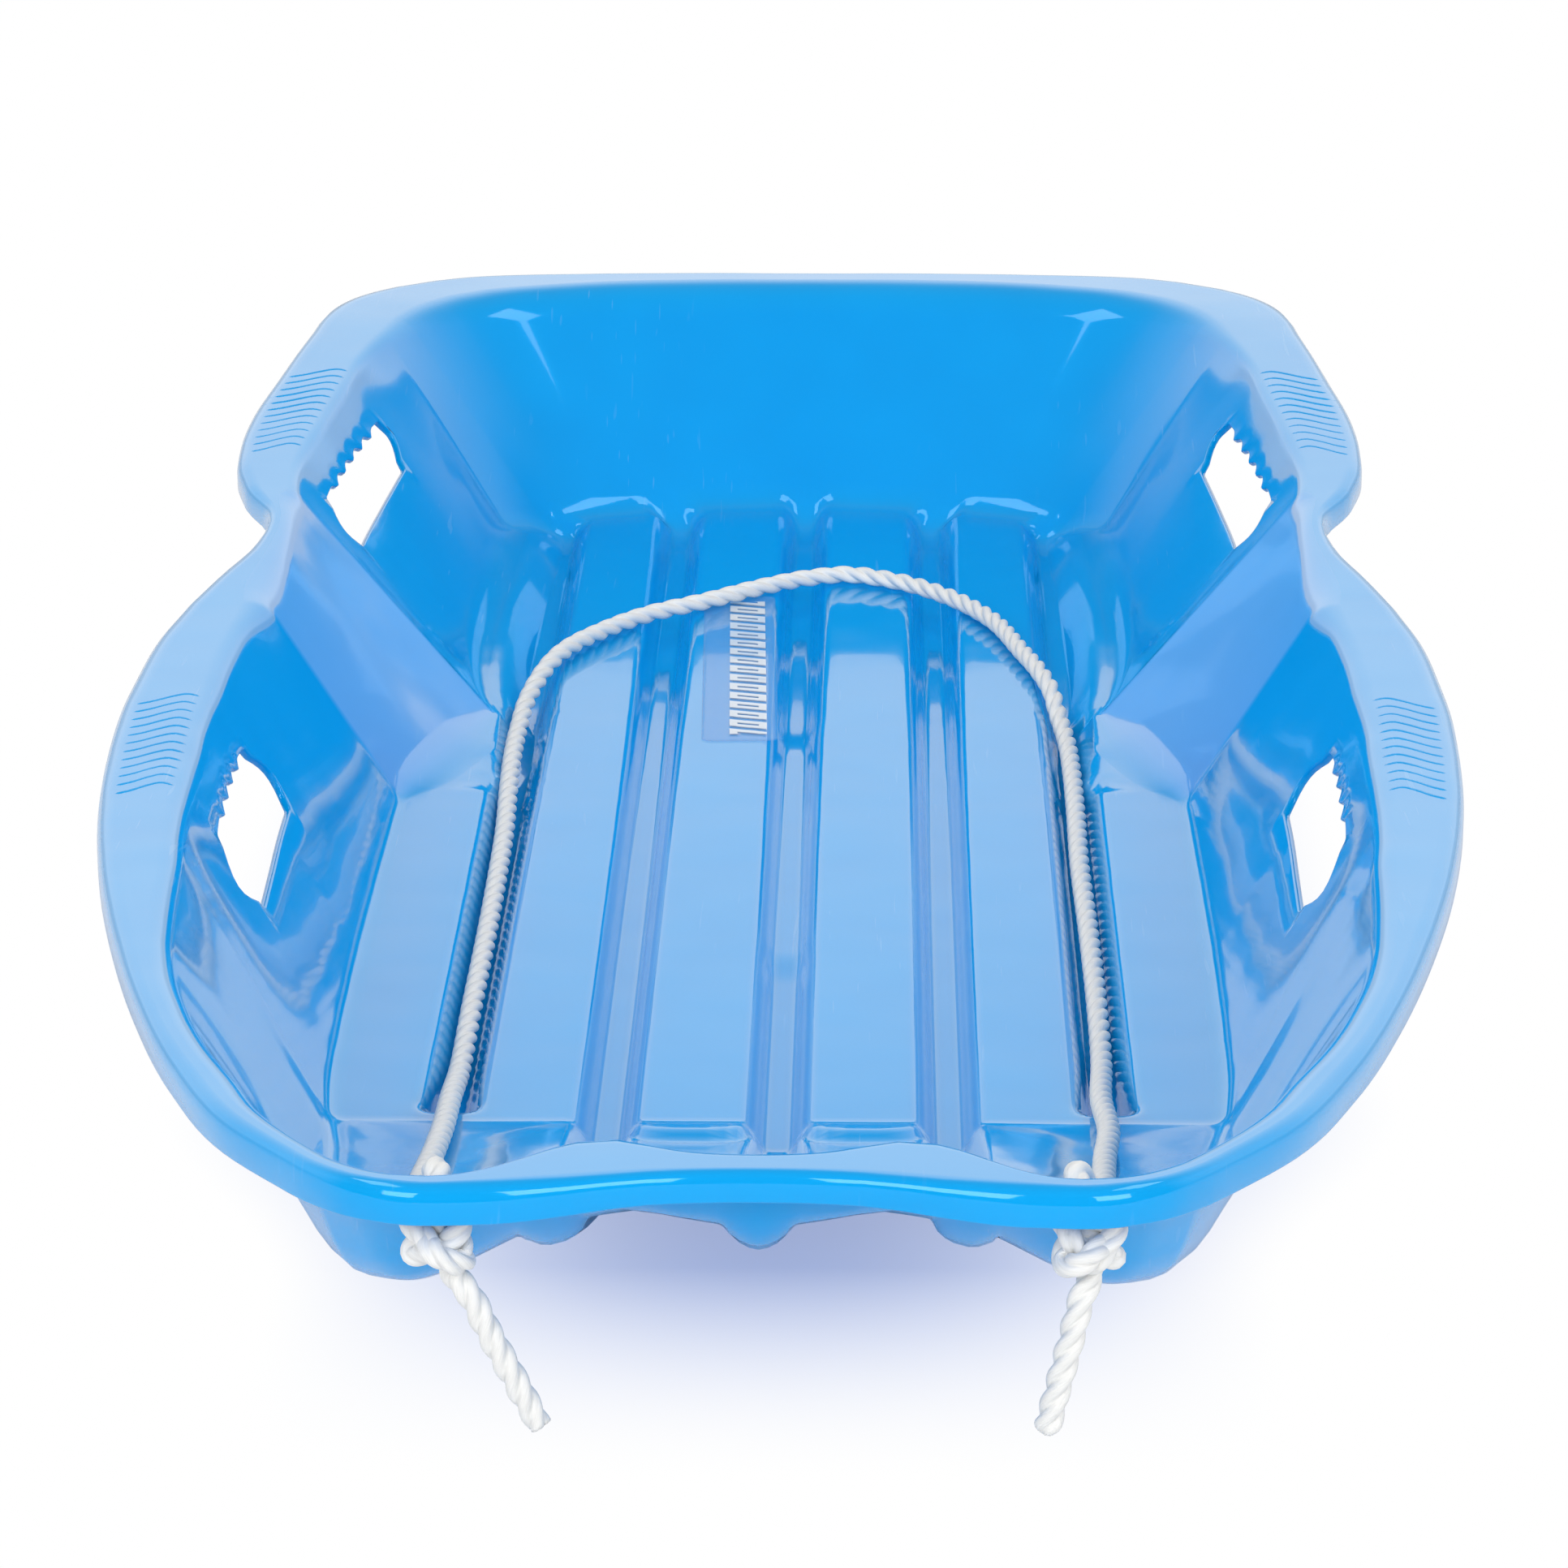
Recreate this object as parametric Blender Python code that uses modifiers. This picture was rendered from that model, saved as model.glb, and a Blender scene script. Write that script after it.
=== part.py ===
"""Two-rider toboggan: a moulded plastic tray with four hand slots, a twisted pull rope
held by a knot behind each of two holes in the nose, and a clear label film on the floor.

The nose points along -Y and the width along X. The origin lies on the ground, under the
middle of the tray. Every length is in metres.
"""
import math

import bmesh
import bpy
from mathutils import Matrix, Vector

# Tray: outside
tray_length = 1.200
tray_width = 0.490
nose_height = 0.140
waist_height = 0.106
tail_height = 0.111
wall = 0.003

# Tray: rim
flange_width = 0.0325
lip_drop = 0.012
lip_radius = 0.006
crest_radius = 0.005

# Tray: floor
floor_width = 0.317
waist_floor_width = 0.256
tail_floor_width = 0.280
floor_nose_half_width_share = 0.735
floor_nose_gap = 0.059
floor_nose_bow = 0.033
floor_tail_gap = 0.131
floor_tail_bow = 0.047
floor_fillet = 0.012
ramp_run = 0.291
ramp_rise_middle = 0.0965
ramp_rise_corner = 0.0735
ramp_curve = 1.15
ramp_corner_share = 0.45
fillet_room_share = 0.33

# Tray: grooves in the floor, which are the runners underneath
groove_depth = 0.0115
groove_top_width = 0.0215
groove_bottom_width = 0.0090
inner_groove_offset = 0.0592
outer_groove_offset = 0.1140
outer_groove_gap = 0.0075
groove_end_run = 0.0080
groove_nose_depth = 0.0098
groove_nose_run = 0.0800
groove_tail_run = 0.0160
panel_gap = 0.0165
panel_step = 0.0040
panel_step_run = 0.0060

# Hand slots
slot_length = 0.118
slot_height = 0.0265
slot_end_bow = 0.0055
slot_level = 0.079
slot_place_shares = (-0.21667, 0.53167)
finger_pitch = 0.0135
finger_depth = 0.0024
finger_count = 5
finger_shift = 0.008

# Rope, its holes and its knots
rope_diameter = 0.008
rope_hole_radius = 0.0055
rope_hole_offset = 0.0905
rope_hole_drop = 0.018
knot_width = 0.0235
knot_depth = 0.0190
knot_height = 0.0170
knot_lobe = 0.0012
knot_gap_below_wall = 0.0018
knot_seat_share = 0.80
knot_shift = 0.0022
left_tail_lead = 0.0038
right_tail_lead = 0.0008
rope_reach_below_wall = 0.0015
rope_reach_above_wall = 0.0020
touching_gap = 0.0003

# Label film
film_length = 0.205
film_width = 0.032
film_thickness = 0.0003
film_offset = -0.0255
film_place_share = 0.43667
film_turn = math.radians(1.4)

# Colour and roughness of each material
azure_look = ((0.0, 0.36, 0.85), 0.22)
white_look = ((0.86, 0.86, 0.84), 0.75)
film_look = ((0.80, 0.87, 0.95), 0.15)

# Values that follow from the sizes above
half_length = tray_length / 2
half_width = tray_width / 2
crest_half_width = half_width - flange_width
floor_half_width = floor_width / 2
waist_half_width = waist_floor_width / 2
tail_half_width = tail_floor_width / 2
floor_level = groove_depth + wall
rope_radius = rope_diameter / 2
nose_half_width = floor_half_width * floor_nose_half_width_share
floor_nose_end = floor_nose_gap - half_length
floor_tail_end = half_length - floor_tail_gap
ramp_start = floor_nose_end + ramp_run
outer_groove_nose_end = ramp_start + outer_groove_gap
panel_nose_end = ramp_start - panel_gap
cutter_reach = lip_drop * 2
weld_distance = touching_gap / 30

# Outlines from the nose's middle round one side to the tail's middle. Each has six
# stretches, which end at the nose corner, the middle of the front bay, the front crease
# of the waist, its rear crease, the tail corner and the tail's middle. A station counts
# along them from 0 at the nose to 6 at the tail.
nose_corner = 1
bay_middle = 2
front_crease = 3
rear_crease = 4
tail_corner = 5
tail_middle = 6
# The lip is in shares of half the width and half the length.
lip_shares = (
    ((0.0, -0.9775), (0.122, -0.9817), (0.224, -0.9933), (0.327, -1.0), (0.400, -1.0),
     (0.465, -0.9875), (0.518, -0.965), (0.555, -0.9433)),
    ((0.555, -0.9433), (0.6265, -0.898), (0.7245, -0.798), (0.802, -0.689), (0.867, -0.577),
     (0.9245, -0.457), (0.969, -0.330), (0.995, -0.197), (1.0, -0.150)),
    ((1.0, -0.150), (1.0, -0.070), (0.993, 0.015), (0.970, 0.095)),
    ((0.970, 0.095), (0.939, 0.165), (0.902, 0.237), (0.890, 0.282), (0.901, 0.322),
     (0.939, 0.358), (0.955, 0.380)),
    ((0.955, 0.380), (0.982, 0.430), (0.994, 0.492), (0.993, 0.575), (0.976, 0.667),
     (0.957, 0.758), (0.945, 0.808)),
    ((0.945, 0.808), (0.933, 0.860), (0.921, 0.884), (0.899, 0.909), (0.863, 0.934),
     (0.805, 0.959), (0.691, 0.983), (0.444, 0.996), (0.0, 1.0)),
)
# The crest, where the flange turns down into the tray, is in shares of its own half width.
crest_shares = (
    ((0.0, -0.945), (0.094, -0.9408), (0.158, -0.9292), (0.206, -0.9225), (0.248, -0.9308),
     (0.307, -0.9533), (0.340, -0.9667), (0.386, -0.9783), (0.435, -0.9808), (0.485, -0.9767),
     (0.544, -0.9617), (0.600, -0.934)),
    ((0.600, -0.934), (0.642, -0.9095), (0.684, -0.8808), (0.733, -0.8325), (0.803, -0.766),
     (0.866, -0.6855), (0.911, -0.6015), (0.933, -0.5265), (0.952, -0.436), (0.970, -0.3693),
     (0.981, -0.3075), (0.989, -0.237), (1.0, -0.150)),
    ((1.0, -0.150), (1.0, -0.083), (1.0, -0.013), (0.991, 0.050), (0.972, 0.093)),
    ((0.972, 0.093), (0.958, 0.190), (0.964, 0.275), (0.999, 0.3667)),
    ((0.999, 0.3667), (0.978, 0.434), (0.960, 0.569), (0.949, 0.671), (0.938, 0.731),
     (0.919, 0.7885)),
    ((0.919, 0.7885), (0.885, 0.833), (0.834, 0.8683), (0.760, 0.898), (0.537, 0.930),
     (0.250, 0.943), (0.0, 0.945)),
)
# The floor's side edge, station by station: share of the stretch's reach along Y, and share
# of the step in half width from the stretch's start to its end.
floor_bay_shares = ((0.0, 0.0), (0.06, 0.14), (0.20, 0.35), (0.38, 0.60), (0.55, 0.79),
                    (0.70, 0.955), (0.80, 0.98), (1.0, 1.0))
floor_nose_bow_shares = ((0.0, -0.42), (0.27, -0.21), (0.40, 0.0), (0.54, -0.12),
                         (0.71, -0.24), (0.88, -0.24), (1.0, 0.0))
floor_tail_bow_shares = ((0.0, 1.0), (0.43, 0.81), (0.80, 0.45), (0.93, 0.23), (1.0, 0.0))
# Places along the tray, in shares of half its length.
bay_middle_share = -0.150
front_crease_share = 0.14083
waist_share = 0.28333
rear_crease_share = 0.330
bay_middle_place = bay_middle_share * half_length
front_crease_place = front_crease_share * half_length
rear_crease_place = rear_crease_share * half_length
# How soft the crest and the floor's corner are at each station, in shares of their radii.
crest_soft_shares = ((0.0, 1.0), (2.7, 1.0), (3.2, 2.6), (3.7, 2.6), (4.0, 1.2), (5.0, 1.0),
                     (5.35, 2.0), (6.0, 2.2))
fillet_soft_shares = ((0.0, 1.2), (1.0, 1.2), (1.6, 1.0), (3.0, 1.0), (3.6, 1.1), (4.0, 0.2),
                      (4.3, 0.5), (5.0, 0.8), (6.0, 0.9))

# How finely the tray is divided
panel_column_share = 0.5
column_room_share = 0.985
row_shares = (-0.83333, -0.75, -0.66667, -0.58333, -0.51667, -0.45417, -0.44417, -0.4175,
              -0.40417, -0.33333, -0.24167, -0.15, -0.05, 0.05, 0.14083, 0.20333, 0.26667, 0.33,
              0.41667, 0.51667, 0.61667, 0.7, 0.74667)
round_steps = 2
wall_steps = 2
row_bend_reach = 0.080
frame_step_share = 0.02
search_steps = 40
slot_end_steps = 5
finger_steps = 6
hole_sides = 20
knot_sides = 18
knot_rings = 12
tray_crease = math.radians(35)
knot_crease = math.radians(40)

# Routes of the rope, chosen by hand, from the left hole over the floor to the right hole
bow_route = (
    (-0.0895, -0.5716, 0.1300), (-0.0900, -0.5682, 0.1306), (-0.0905, -0.5640, 0.1294),
    (-0.0925, -0.5525, 0.1215), (-0.0945, -0.5400, 0.1115), (-0.0975, -0.5200, 0.0960),
    (-0.1005, -0.5000, 0.0845), (-0.1060, -0.4600, 0.0710), (-0.1090, -0.4300, 0.0630),
    (-0.1110, -0.3900, 0.0510), (-0.1115, -0.3400, 0.0385), (-0.1120, -0.2900, 0.0278),
    (-0.1135, -0.2350, 0.0168), (-0.1140, -0.1900, 0.0084), (-0.1142, -0.1300, 0.0078),
    (-0.1140, -0.0600, 0.0078), (-0.1142, 0.0100, 0.0080), (-0.1150, 0.0700, 0.0080),
    (-0.1165, 0.1150, 0.0092), (-0.1172, 0.1450, 0.0100), (-0.1170, 0.1900, 0.0104),
    (-0.1150, 0.2200, 0.0135), (-0.1040, 0.2640, 0.0193), (-0.0877, 0.2971, 0.0193),
    (-0.0674, 0.3232, 0.0193), (-0.0425, 0.3420, 0.0197), (-0.0176, 0.3640, 0.0197),
    (0.0042, 0.3800, 0.0193), (0.0190, 0.3850, 0.0193), (0.0412, 0.3760, 0.0193),
    (0.0630, 0.3550, 0.0193), (0.0825, 0.3220, 0.0193), (0.0972, 0.2690, 0.0193),
    (0.1035, 0.2430, 0.0192), (0.1080, 0.2250, 0.0168), (0.1110, 0.2050, 0.0110),
    (0.1135, 0.1800, 0.0086), (0.1145, 0.1400, 0.0080),
    (0.1145, 0.1000, 0.0079), (0.1138, 0.0300, 0.0078), (0.1145, -0.0450, 0.0079),
    (0.1148, -0.1150, 0.0080), (0.1142, -0.1800, 0.0080), (0.1118, -0.2350, 0.0168),
    (0.1120, -0.2900, 0.0278), (0.1085, -0.3400, 0.0385), (0.1060, -0.3900, 0.0510),
    (0.1030, -0.4500, 0.0680), (0.1005, -0.5000, 0.0845), (0.0975, -0.5200, 0.0960),
    (0.0945, -0.5400, 0.1115), (0.0925, -0.5525, 0.1215), (0.0905, -0.5640, 0.1294),
    (0.0900, -0.5682, 0.1306), (0.0895, -0.5716, 0.1300),
)
left_tail_drop = ((0.0040, -0.0015, -0.0090), (0.0100, -0.0028, -0.0215),
                  (0.0170, -0.0036, -0.0355), (0.0235, -0.0040, -0.0490))
right_tail_drop = ((-0.0020, -0.0015, -0.0090), (-0.0050, -0.0028, -0.0215),
                   (-0.0085, -0.0036, -0.0360), (-0.0120, -0.0040, -0.0510))
bow_points = 82
tail_points = 7
rope_bevel_resolution = 2


def clear_scene():
    for thing in list(bpy.data.objects):
        bpy.data.objects.remove(thing)


def make_collection(name):
    collection = bpy.data.collections.new(name)
    bpy.context.scene.collection.children.link(collection)
    return collection


def mix(low, high, share):
    return low + (high - low) * share


def clamp(value):
    return min(max(value, 0.0), 1.0)


def ease(value):
    value = clamp(value)
    return value * value * (3 - 2 * value)


def table_value(table, place):
    """Reads a table of (place, value) pairs along straight lines."""
    for (start, low), (end, high) in zip(table, table[1:]):
        if place <= end:
            return mix(low, high, clamp((place - start) / (end - start)))
    return table[-1][1]


def curve_value(before, start, end, after, share):
    """The point at a share of the way from start to end on a smooth curve."""
    leave = (end - before) / 2
    arrive = (after - start) / 2
    square = share * share
    cube = square * share
    return (start * (2 * cube - 3 * square + 1) + leave * (cube - 2 * square + share)
            + end * (3 * square - 2 * cube) + arrive * (cube - square))


def smooth_table_value(table, place):
    """Reads a table of (place, value) pairs on a smooth curve."""
    places = [pair[0] for pair in table]
    values = [pair[1] for pair in table]
    last = len(table) - 1
    index = 0
    while index < last - 1 and place > places[index + 1]:
        index += 1
    share = clamp((place - places[index]) / (places[index + 1] - places[index]))
    before = values[max(index - 1, 0)]
    after = values[min(index + 2, last)]
    return curve_value(before, values[index], values[index + 1], after, share)


def point_along(points, share):
    """The point at a share of the length of a smooth curve through the points."""
    spans = [(end - start).length for start, end in zip(points, points[1:])]
    reach = clamp(share) * sum(spans)
    last = len(points) - 1
    index = 0
    while index < last - 1 and reach > spans[index]:
        reach -= spans[index]
        index += 1
    before = points[max(index - 1, 0)]
    after = points[min(index + 2, last)]
    return curve_value(before, points[index], points[index + 1], after, clamp(reach / spans[index]))


def rim_height(place):
    """Height of the rim above the ground: it dips at the waist and rises to both ends."""
    beyond_waist = place / half_length - waist_share
    if beyond_waist < 0:
        return mix(waist_height, nose_height, (beyond_waist / (1 + waist_share)) ** 2)
    return mix(waist_height, tail_height, (beyond_waist / (1 - waist_share)) ** 2)


def outline_point(stretches, width, station):
    """A point of the lip or the crest at a station from 0 at the nose to 6 at the tail."""
    stretch = min(int(station), len(stretches) - 1)
    points = [Vector((x * width, y * half_length)) for x, y in stretches[stretch]]
    flat = point_along(points, station - stretch)
    return Vector((flat.x, flat.y, rim_height(flat.y)))


def ramp_height(across, place):
    """Height of the floor between the grooves, which ramps up towards the nose."""
    corner = ease((across / nose_half_width - ramp_corner_share) / ramp_corner_share)
    rise = mix(ramp_rise_middle, ramp_rise_corner, corner)
    reach = clamp((ramp_start - place) / (ramp_start - floor_nose_end))
    return floor_level + rise * reach ** ramp_curve


def floor_edge(station):
    """A point of the floor's edge, where the wall starts, before its corner is rounded."""
    share = station - int(station)
    if station < nose_corner:
        across = nose_half_width * station
        place = floor_nose_end + floor_nose_bow * smooth_table_value(floor_nose_bow_shares, share)
    elif station < bay_middle:
        widening = smooth_table_value(floor_bay_shares, share)
        across = mix(nose_half_width, floor_half_width, widening)
        place = mix(floor_nose_end, bay_middle_place, share)
    elif station < front_crease:
        across = floor_half_width
        place = mix(bay_middle_place, front_crease_place, share)
    elif station < rear_crease:
        across = mix(floor_half_width, waist_half_width, share)
        place = mix(front_crease_place, rear_crease_place, share)
    elif station < tail_corner:
        across = mix(waist_half_width, tail_half_width, share)
        place = mix(rear_crease_place, floor_tail_end, share)
    else:
        inward = tail_middle - station
        across = tail_half_width * inward
        place = floor_tail_end + floor_tail_bow * smooth_table_value(floor_tail_bow_shares, inward)
    return Vector((across, place, ramp_height(across, place)))


def rounded(start, corner, end, steps):
    """The points after start, up to end, on a curve that rounds a corner."""
    points = []
    for step in range(1, steps + 1):
        share = step / steps
        points.append(start.lerp(corner, share).lerp(corner.lerp(end, share), share))
    return points


def section(station):
    """The tray's section at a station, from the floor's border out to the lip's lower edge."""
    foot = floor_edge(station)
    crest = outline_point(crest_shares, crest_half_width, station)
    lip = outline_point(lip_shares, half_width, station)
    inward = Vector((foot.x - crest.x, foot.y - crest.y, 0)).normalized()
    climb = (crest - foot).normalized()
    outward = (lip - crest).normalized()
    room = (lip - crest).length / 2
    fillet = floor_fillet * table_value(fillet_soft_shares, station)
    fillet = min(fillet, (crest - foot).length * fillet_room_share)
    border = foot + inward * fillet
    border.z = ramp_height(border.x, border.y)
    crest_bend = min(crest_radius * table_value(crest_soft_shares, station), room)
    lip_bend = min(lip_radius, room)
    wall_low = foot + climb * fillet
    wall_high = crest - climb * crest_bend
    points = [border]
    points += rounded(border, foot, wall_low, round_steps)
    for step in range(1, wall_steps + 1):
        points.append(wall_low.lerp(wall_high, step / wall_steps))
    points += rounded(wall_high, crest, crest + outward * crest_bend, round_steps)
    lip_side = lip - Vector((0, 0, lip_bend))
    points.append(lip - outward * lip_bend)
    points += rounded(lip - outward * lip_bend, lip, lip_side, round_steps)
    points.append(lip - Vector((0, 0, lip_drop)))
    return points


def groove_columns():
    """Places across the floor: the groove edges, with the panels between them divided."""
    half_top = groove_top_width / 2
    half_bottom = groove_bottom_width / 2
    places = [0.0, half_bottom, half_top]
    for offset in (inner_groove_offset, outer_groove_offset):
        start = places[-1]
        end = offset - half_top
        places += [mix(start, end, panel_column_share), end]
        places += [offset - half_bottom, offset + half_bottom, offset + half_top]
    return places


def groove_fullness(across):
    """1 over the bottom of a groove, 0 between the grooves, and a slope in between."""
    run = (groove_top_width - groove_bottom_width) / 2
    nearest = min(abs(across - offset) for offset in (0.0, inner_groove_offset, outer_groove_offset))
    return clamp((groove_top_width / 2 - nearest) / run)


def floor_sink(across, place, tail_room):
    """How far the grooves and the step before the middle panels lie under the floor."""
    nose_run = clamp((place - floor_nose_end) / groove_nose_run)
    depth = mix(groove_nose_depth, groove_depth, nose_run) * groove_fullness(across)
    depth *= clamp(tail_room / groove_tail_run)
    if across > (inner_groove_offset + outer_groove_offset) / 2:
        depth *= clamp((place - outer_groove_nose_end) / groove_end_run)
    panel_edge = inner_groove_offset - groove_top_width / 2
    if across < panel_edge:
        step = clamp((panel_nose_end - place) / panel_step_run)
        fade = clamp((place - floor_nose_end) / (panel_nose_end - floor_nose_end))
        depth = max(depth, panel_step * step * fade)
    return depth


def squeezed_column(across, edge_across, last_column):
    """Moves the outer columns in where the floor's edge comes closer than they lie."""
    fixed = inner_groove_offset + groove_top_width / 2
    limit = mix(fixed, edge_across, column_room_share)
    if across <= fixed or last_column <= limit:
        return across
    return mix(fixed, limit, (across - fixed) / (last_column - fixed))


def side_stations():
    """The station of each row of the floor, from the nose corner to the tail corner."""
    turns = (floor_nose_end, bay_middle_place, front_crease_place, rear_crease_place,
             floor_tail_end)
    stations = [nose_corner]
    for row_share in row_shares:
        place = row_share * half_length
        stretch = 0
        while stretch < len(turns) - 2 and place >= turns[stretch + 1]:
            stretch += 1
        share = (place - turns[stretch]) / (turns[stretch + 1] - turns[stretch])
        stations.append(nose_corner + stretch + clamp(share))
    stations.append(tail_corner)
    return stations


def end_border(across, last_column, corner):
    """The station where a column meets the nose or the tail, and the floor's border there."""
    width = floor_edge(corner).x
    share = squeezed_column(across, width, last_column) / width
    station = share if corner == nose_corner else tail_middle - share
    return station, section(station)[0]


def floor_point(across, row, last_column, side_border):
    """Where a column crosses a row, and its station. The rows bend to the nose and the tail."""
    nose_station, nose = end_border(across, last_column, nose_corner)
    tail_station, tail = end_border(across, last_column, tail_corner)
    edge = side_border[row]
    nose_pull = clamp(1 - (edge.y - side_border[0].y) / row_bend_reach) ** 2
    tail_pull = clamp(1 - (side_border[-1].y - edge.y) / row_bend_reach) ** 2
    spot_across = squeezed_column(across, edge.x, last_column)
    if row == 0:
        spot_across = nose.x
    if row == len(side_border) - 1:
        spot_across = tail.x
    place = edge.y + (nose.y - side_border[0].y) * nose_pull
    place += (tail.y - side_border[-1].y) * tail_pull
    height = ramp_height(spot_across, place) - floor_sink(across, place, tail.y - place)
    station = nose_station if row == 0 else tail_station
    return station, Vector((spot_across, place, height))


def tray_half_mesh():
    """One half of the tray's upper surface: a floor grid, and rings drawn out from its border."""
    columns = groove_columns()
    stations = side_stations()
    rows = len(stations) - 1
    side_border = [section(station)[0] for station in stations]
    mesh = bmesh.new()
    station_of = mesh.verts.layers.float.new("station")
    across_of = mesh.verts.layers.float.new("across")
    bmesh.ops.create_grid(mesh, x_segments=len(columns), y_segments=rows, size=0.5)
    for vert in mesh.verts:
        column = round((vert.co.x + 0.5) * len(columns))
        row = round((vert.co.y + 0.5) * rows)
        if column < len(columns):
            vert[across_of] = columns[column]
            station, spot = floor_point(columns[column], row, columns[-1], side_border)
        else:
            vert[across_of] = floor_half_width
            station, spot = stations[row], side_border[row]
        vert[station_of] = station
        vert.co = spot
    draw_out_rings(mesh, station_of, across_of)
    bmesh.ops.recalc_face_normals(mesh, faces=mesh.faces)
    if mesh.faces[0].normal.z < 0:
        bmesh.ops.reverse_faces(mesh, faces=mesh.faces)
    return mesh


def draw_out_rings(mesh, station_of, across_of):
    """Extrudes the floor's border, ring by ring, up the wall, over the rim and down the lip."""
    ring = [edge for edge in mesh.edges
            if edge.is_boundary and any(vert.co.x > weld_distance for vert in edge.verts)]
    fade_levels = round_steps + 1
    for level in range(1, len(section(nose_corner))):
        drawn = bmesh.ops.extrude_edge_only(mesh, edges=ring)["geom"]
        ring = [piece for piece in drawn if isinstance(piece, bmesh.types.BMEdge)]
        for vert in {vert for edge in ring for vert in edge.verts}:
            station = vert[station_of]
            vert.co = section(station)[level]
            if station < nose_corner and level < fade_levels:
                sink = floor_sink(vert[across_of], floor_nose_end, groove_tail_run)
                vert.co.z -= sink * (1 - level / fade_levels)


def wall_spot(station, share):
    """A point of the wall between its foot and the crest."""
    foot = floor_edge(station)
    crest = outline_point(crest_shares, crest_half_width, station)
    return foot.lerp(crest, share)


def wall_frame(station, share):
    """A frame on the wall: X along the tray, Y up the wall, Z out of the tray's inside."""
    before = wall_spot(station - frame_step_share, share)
    after = wall_spot(station + frame_step_share, share)
    along = (after - before).normalized()
    climb = (wall_spot(station, 1.0) - wall_spot(station, 0.0)).normalized()
    outward = along.cross(climb).normalized()
    frame = Matrix((along, outward.cross(along), outward)).transposed().to_4x4()
    frame.translation = wall_spot(station, share)
    return frame


def find_station(low, high, measure, wanted):
    """The station between low and high where the measure reaches the wanted value."""
    for _ in range(search_steps):
        middle = (low + high) / 2
        if measure(middle) < wanted:
            low = middle
        else:
            high = middle
    return (low + high) / 2


def slot_frame(place):
    """The frame of a hand slot whose middle lies at a place along the tray."""
    share = (slot_level - floor_level) / (rim_height(place) - floor_level)
    station = find_station(nose_corner, tail_corner, lambda trial: wall_spot(trial, share).y, place)
    return wall_frame(station, share)


def hole_share(station):
    """How far up the wall the rope hole lies at a station."""
    return 1 - rope_hole_drop / (wall_spot(station, 1.0) - wall_spot(station, 0.0)).length


def hole_frame():
    """The frame of the rope hole in the nose, close under the crest."""
    across = lambda trial: wall_spot(trial, hole_share(trial)).x
    station = find_station(0.0, nose_corner, across, rope_hole_offset)
    return wall_frame(station, hole_share(station))


def bowed_end(end, low, high):
    """One bowed end of a hand slot, from its low to its high corner."""
    bow = math.copysign(slot_end_bow, end)
    points = []
    for step in range(slot_end_steps + 1):
        share = step / slot_end_steps
        points.append((end + bow * math.sin(math.pi * share), mix(low, high, share)))
    return points


def slot_outline():
    """The hand slot: a straight lower edge, bowed ends, and finger rests along its top."""
    half = slot_length / 2
    top = slot_height / 2
    reach = finger_pitch * finger_count
    points = bowed_end(half, -top, top)
    for step in range(finger_steps * finger_count + 1):
        turn = math.pi * step / finger_steps
        along = finger_shift + reach / 2 - finger_pitch * step / finger_steps
        points.append((along, top - finger_depth * (1 - abs(math.sin(turn)))))
    return points + bowed_end(-half, top, -top)


def outline_solid(name, outline, thickness):
    """A flat outline as a 2D curve, extruded both ways and made a closed mesh."""
    curve = bpy.data.curves.new(name, "CURVE")
    curve.dimensions = "2D"
    curve.fill_mode = "BOTH"
    curve.extrude = thickness / 2
    spline = curve.splines.new("POLY")
    spline.points.add(len(outline) - 1)
    for point, (x, y) in zip(spline.points, outline):
        point.co = (x, y, 0, 1)
    spline.use_cyclic_u = True
    return mesh_of_curve(name, curve)


def mesh_of_curve(name, curve):
    """The evaluated curve as a mesh with its loose caps welded on."""
    holder = bpy.data.objects.new(name + "_curve", curve)
    bpy.context.scene.collection.objects.link(holder)
    bpy.context.view_layer.update()
    evaluated = holder.evaluated_get(bpy.context.evaluated_depsgraph_get())
    data = bpy.data.meshes.new_from_object(evaluated)
    data.name = name
    weld = bmesh.new()
    weld.from_mesh(data)
    bmesh.ops.remove_doubles(weld, verts=weld.verts, dist=weld_distance)
    bmesh.ops.recalc_face_normals(weld, faces=weld.faces)
    weld.to_mesh(data)
    weld.free()
    bpy.data.objects.remove(holder)
    return data


def make_material(name, look):
    color, roughness = look
    material = bpy.data.materials.new(name)
    material.use_nodes = True
    shader = material.node_tree.nodes["Principled BSDF"]
    shader.inputs["Base Color"].default_value = (*color, 1)
    shader.inputs["Roughness"].default_value = roughness
    shader.inputs["Metallic"].default_value = 0.0
    return material


def place_object(name, data, collection, material=None):
    thing = bpy.data.objects.new(name, data)
    collection.objects.link(thing)
    if material:
        data.materials.append(material)
    return thing


def smooth_shading(data, crease):
    data.shade_smooth()
    data.set_sharp_from_angle(angle=crease)


def mirror_across(thing):
    mirror = thing.modifiers.new("Other half", "MIRROR")
    mirror.use_axis = (True, False, False)
    mirror.use_mirror_merge = True
    mirror.merge_threshold = 0.0001


def make_cutter(name, pieces, cutters):
    """One cutter object from placed meshes, with its mirror image on the other side."""
    joined = bmesh.new()
    for data, frame in pieces:
        data.transform(frame)
        joined.from_mesh(data)
        bpy.data.meshes.remove(data)
    bmesh.ops.recalc_face_normals(joined, faces=joined.faces)
    data = bpy.data.meshes.new(name)
    joined.to_mesh(data)
    joined.free()
    cutter = place_object(name, data, cutters)
    cutter.hide_render = True
    cutter.display_type = "WIRE"
    mirror_across(cutter)
    return cutter


def slot_cutter(cutters):
    pieces = []
    for place_share in slot_place_shares:
        frame = slot_frame(place_share * half_length)
        pieces.append((outline_solid("slot", slot_outline(), cutter_reach), frame))
    return make_cutter("hand_slot_cutter", pieces, cutters)


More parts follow.
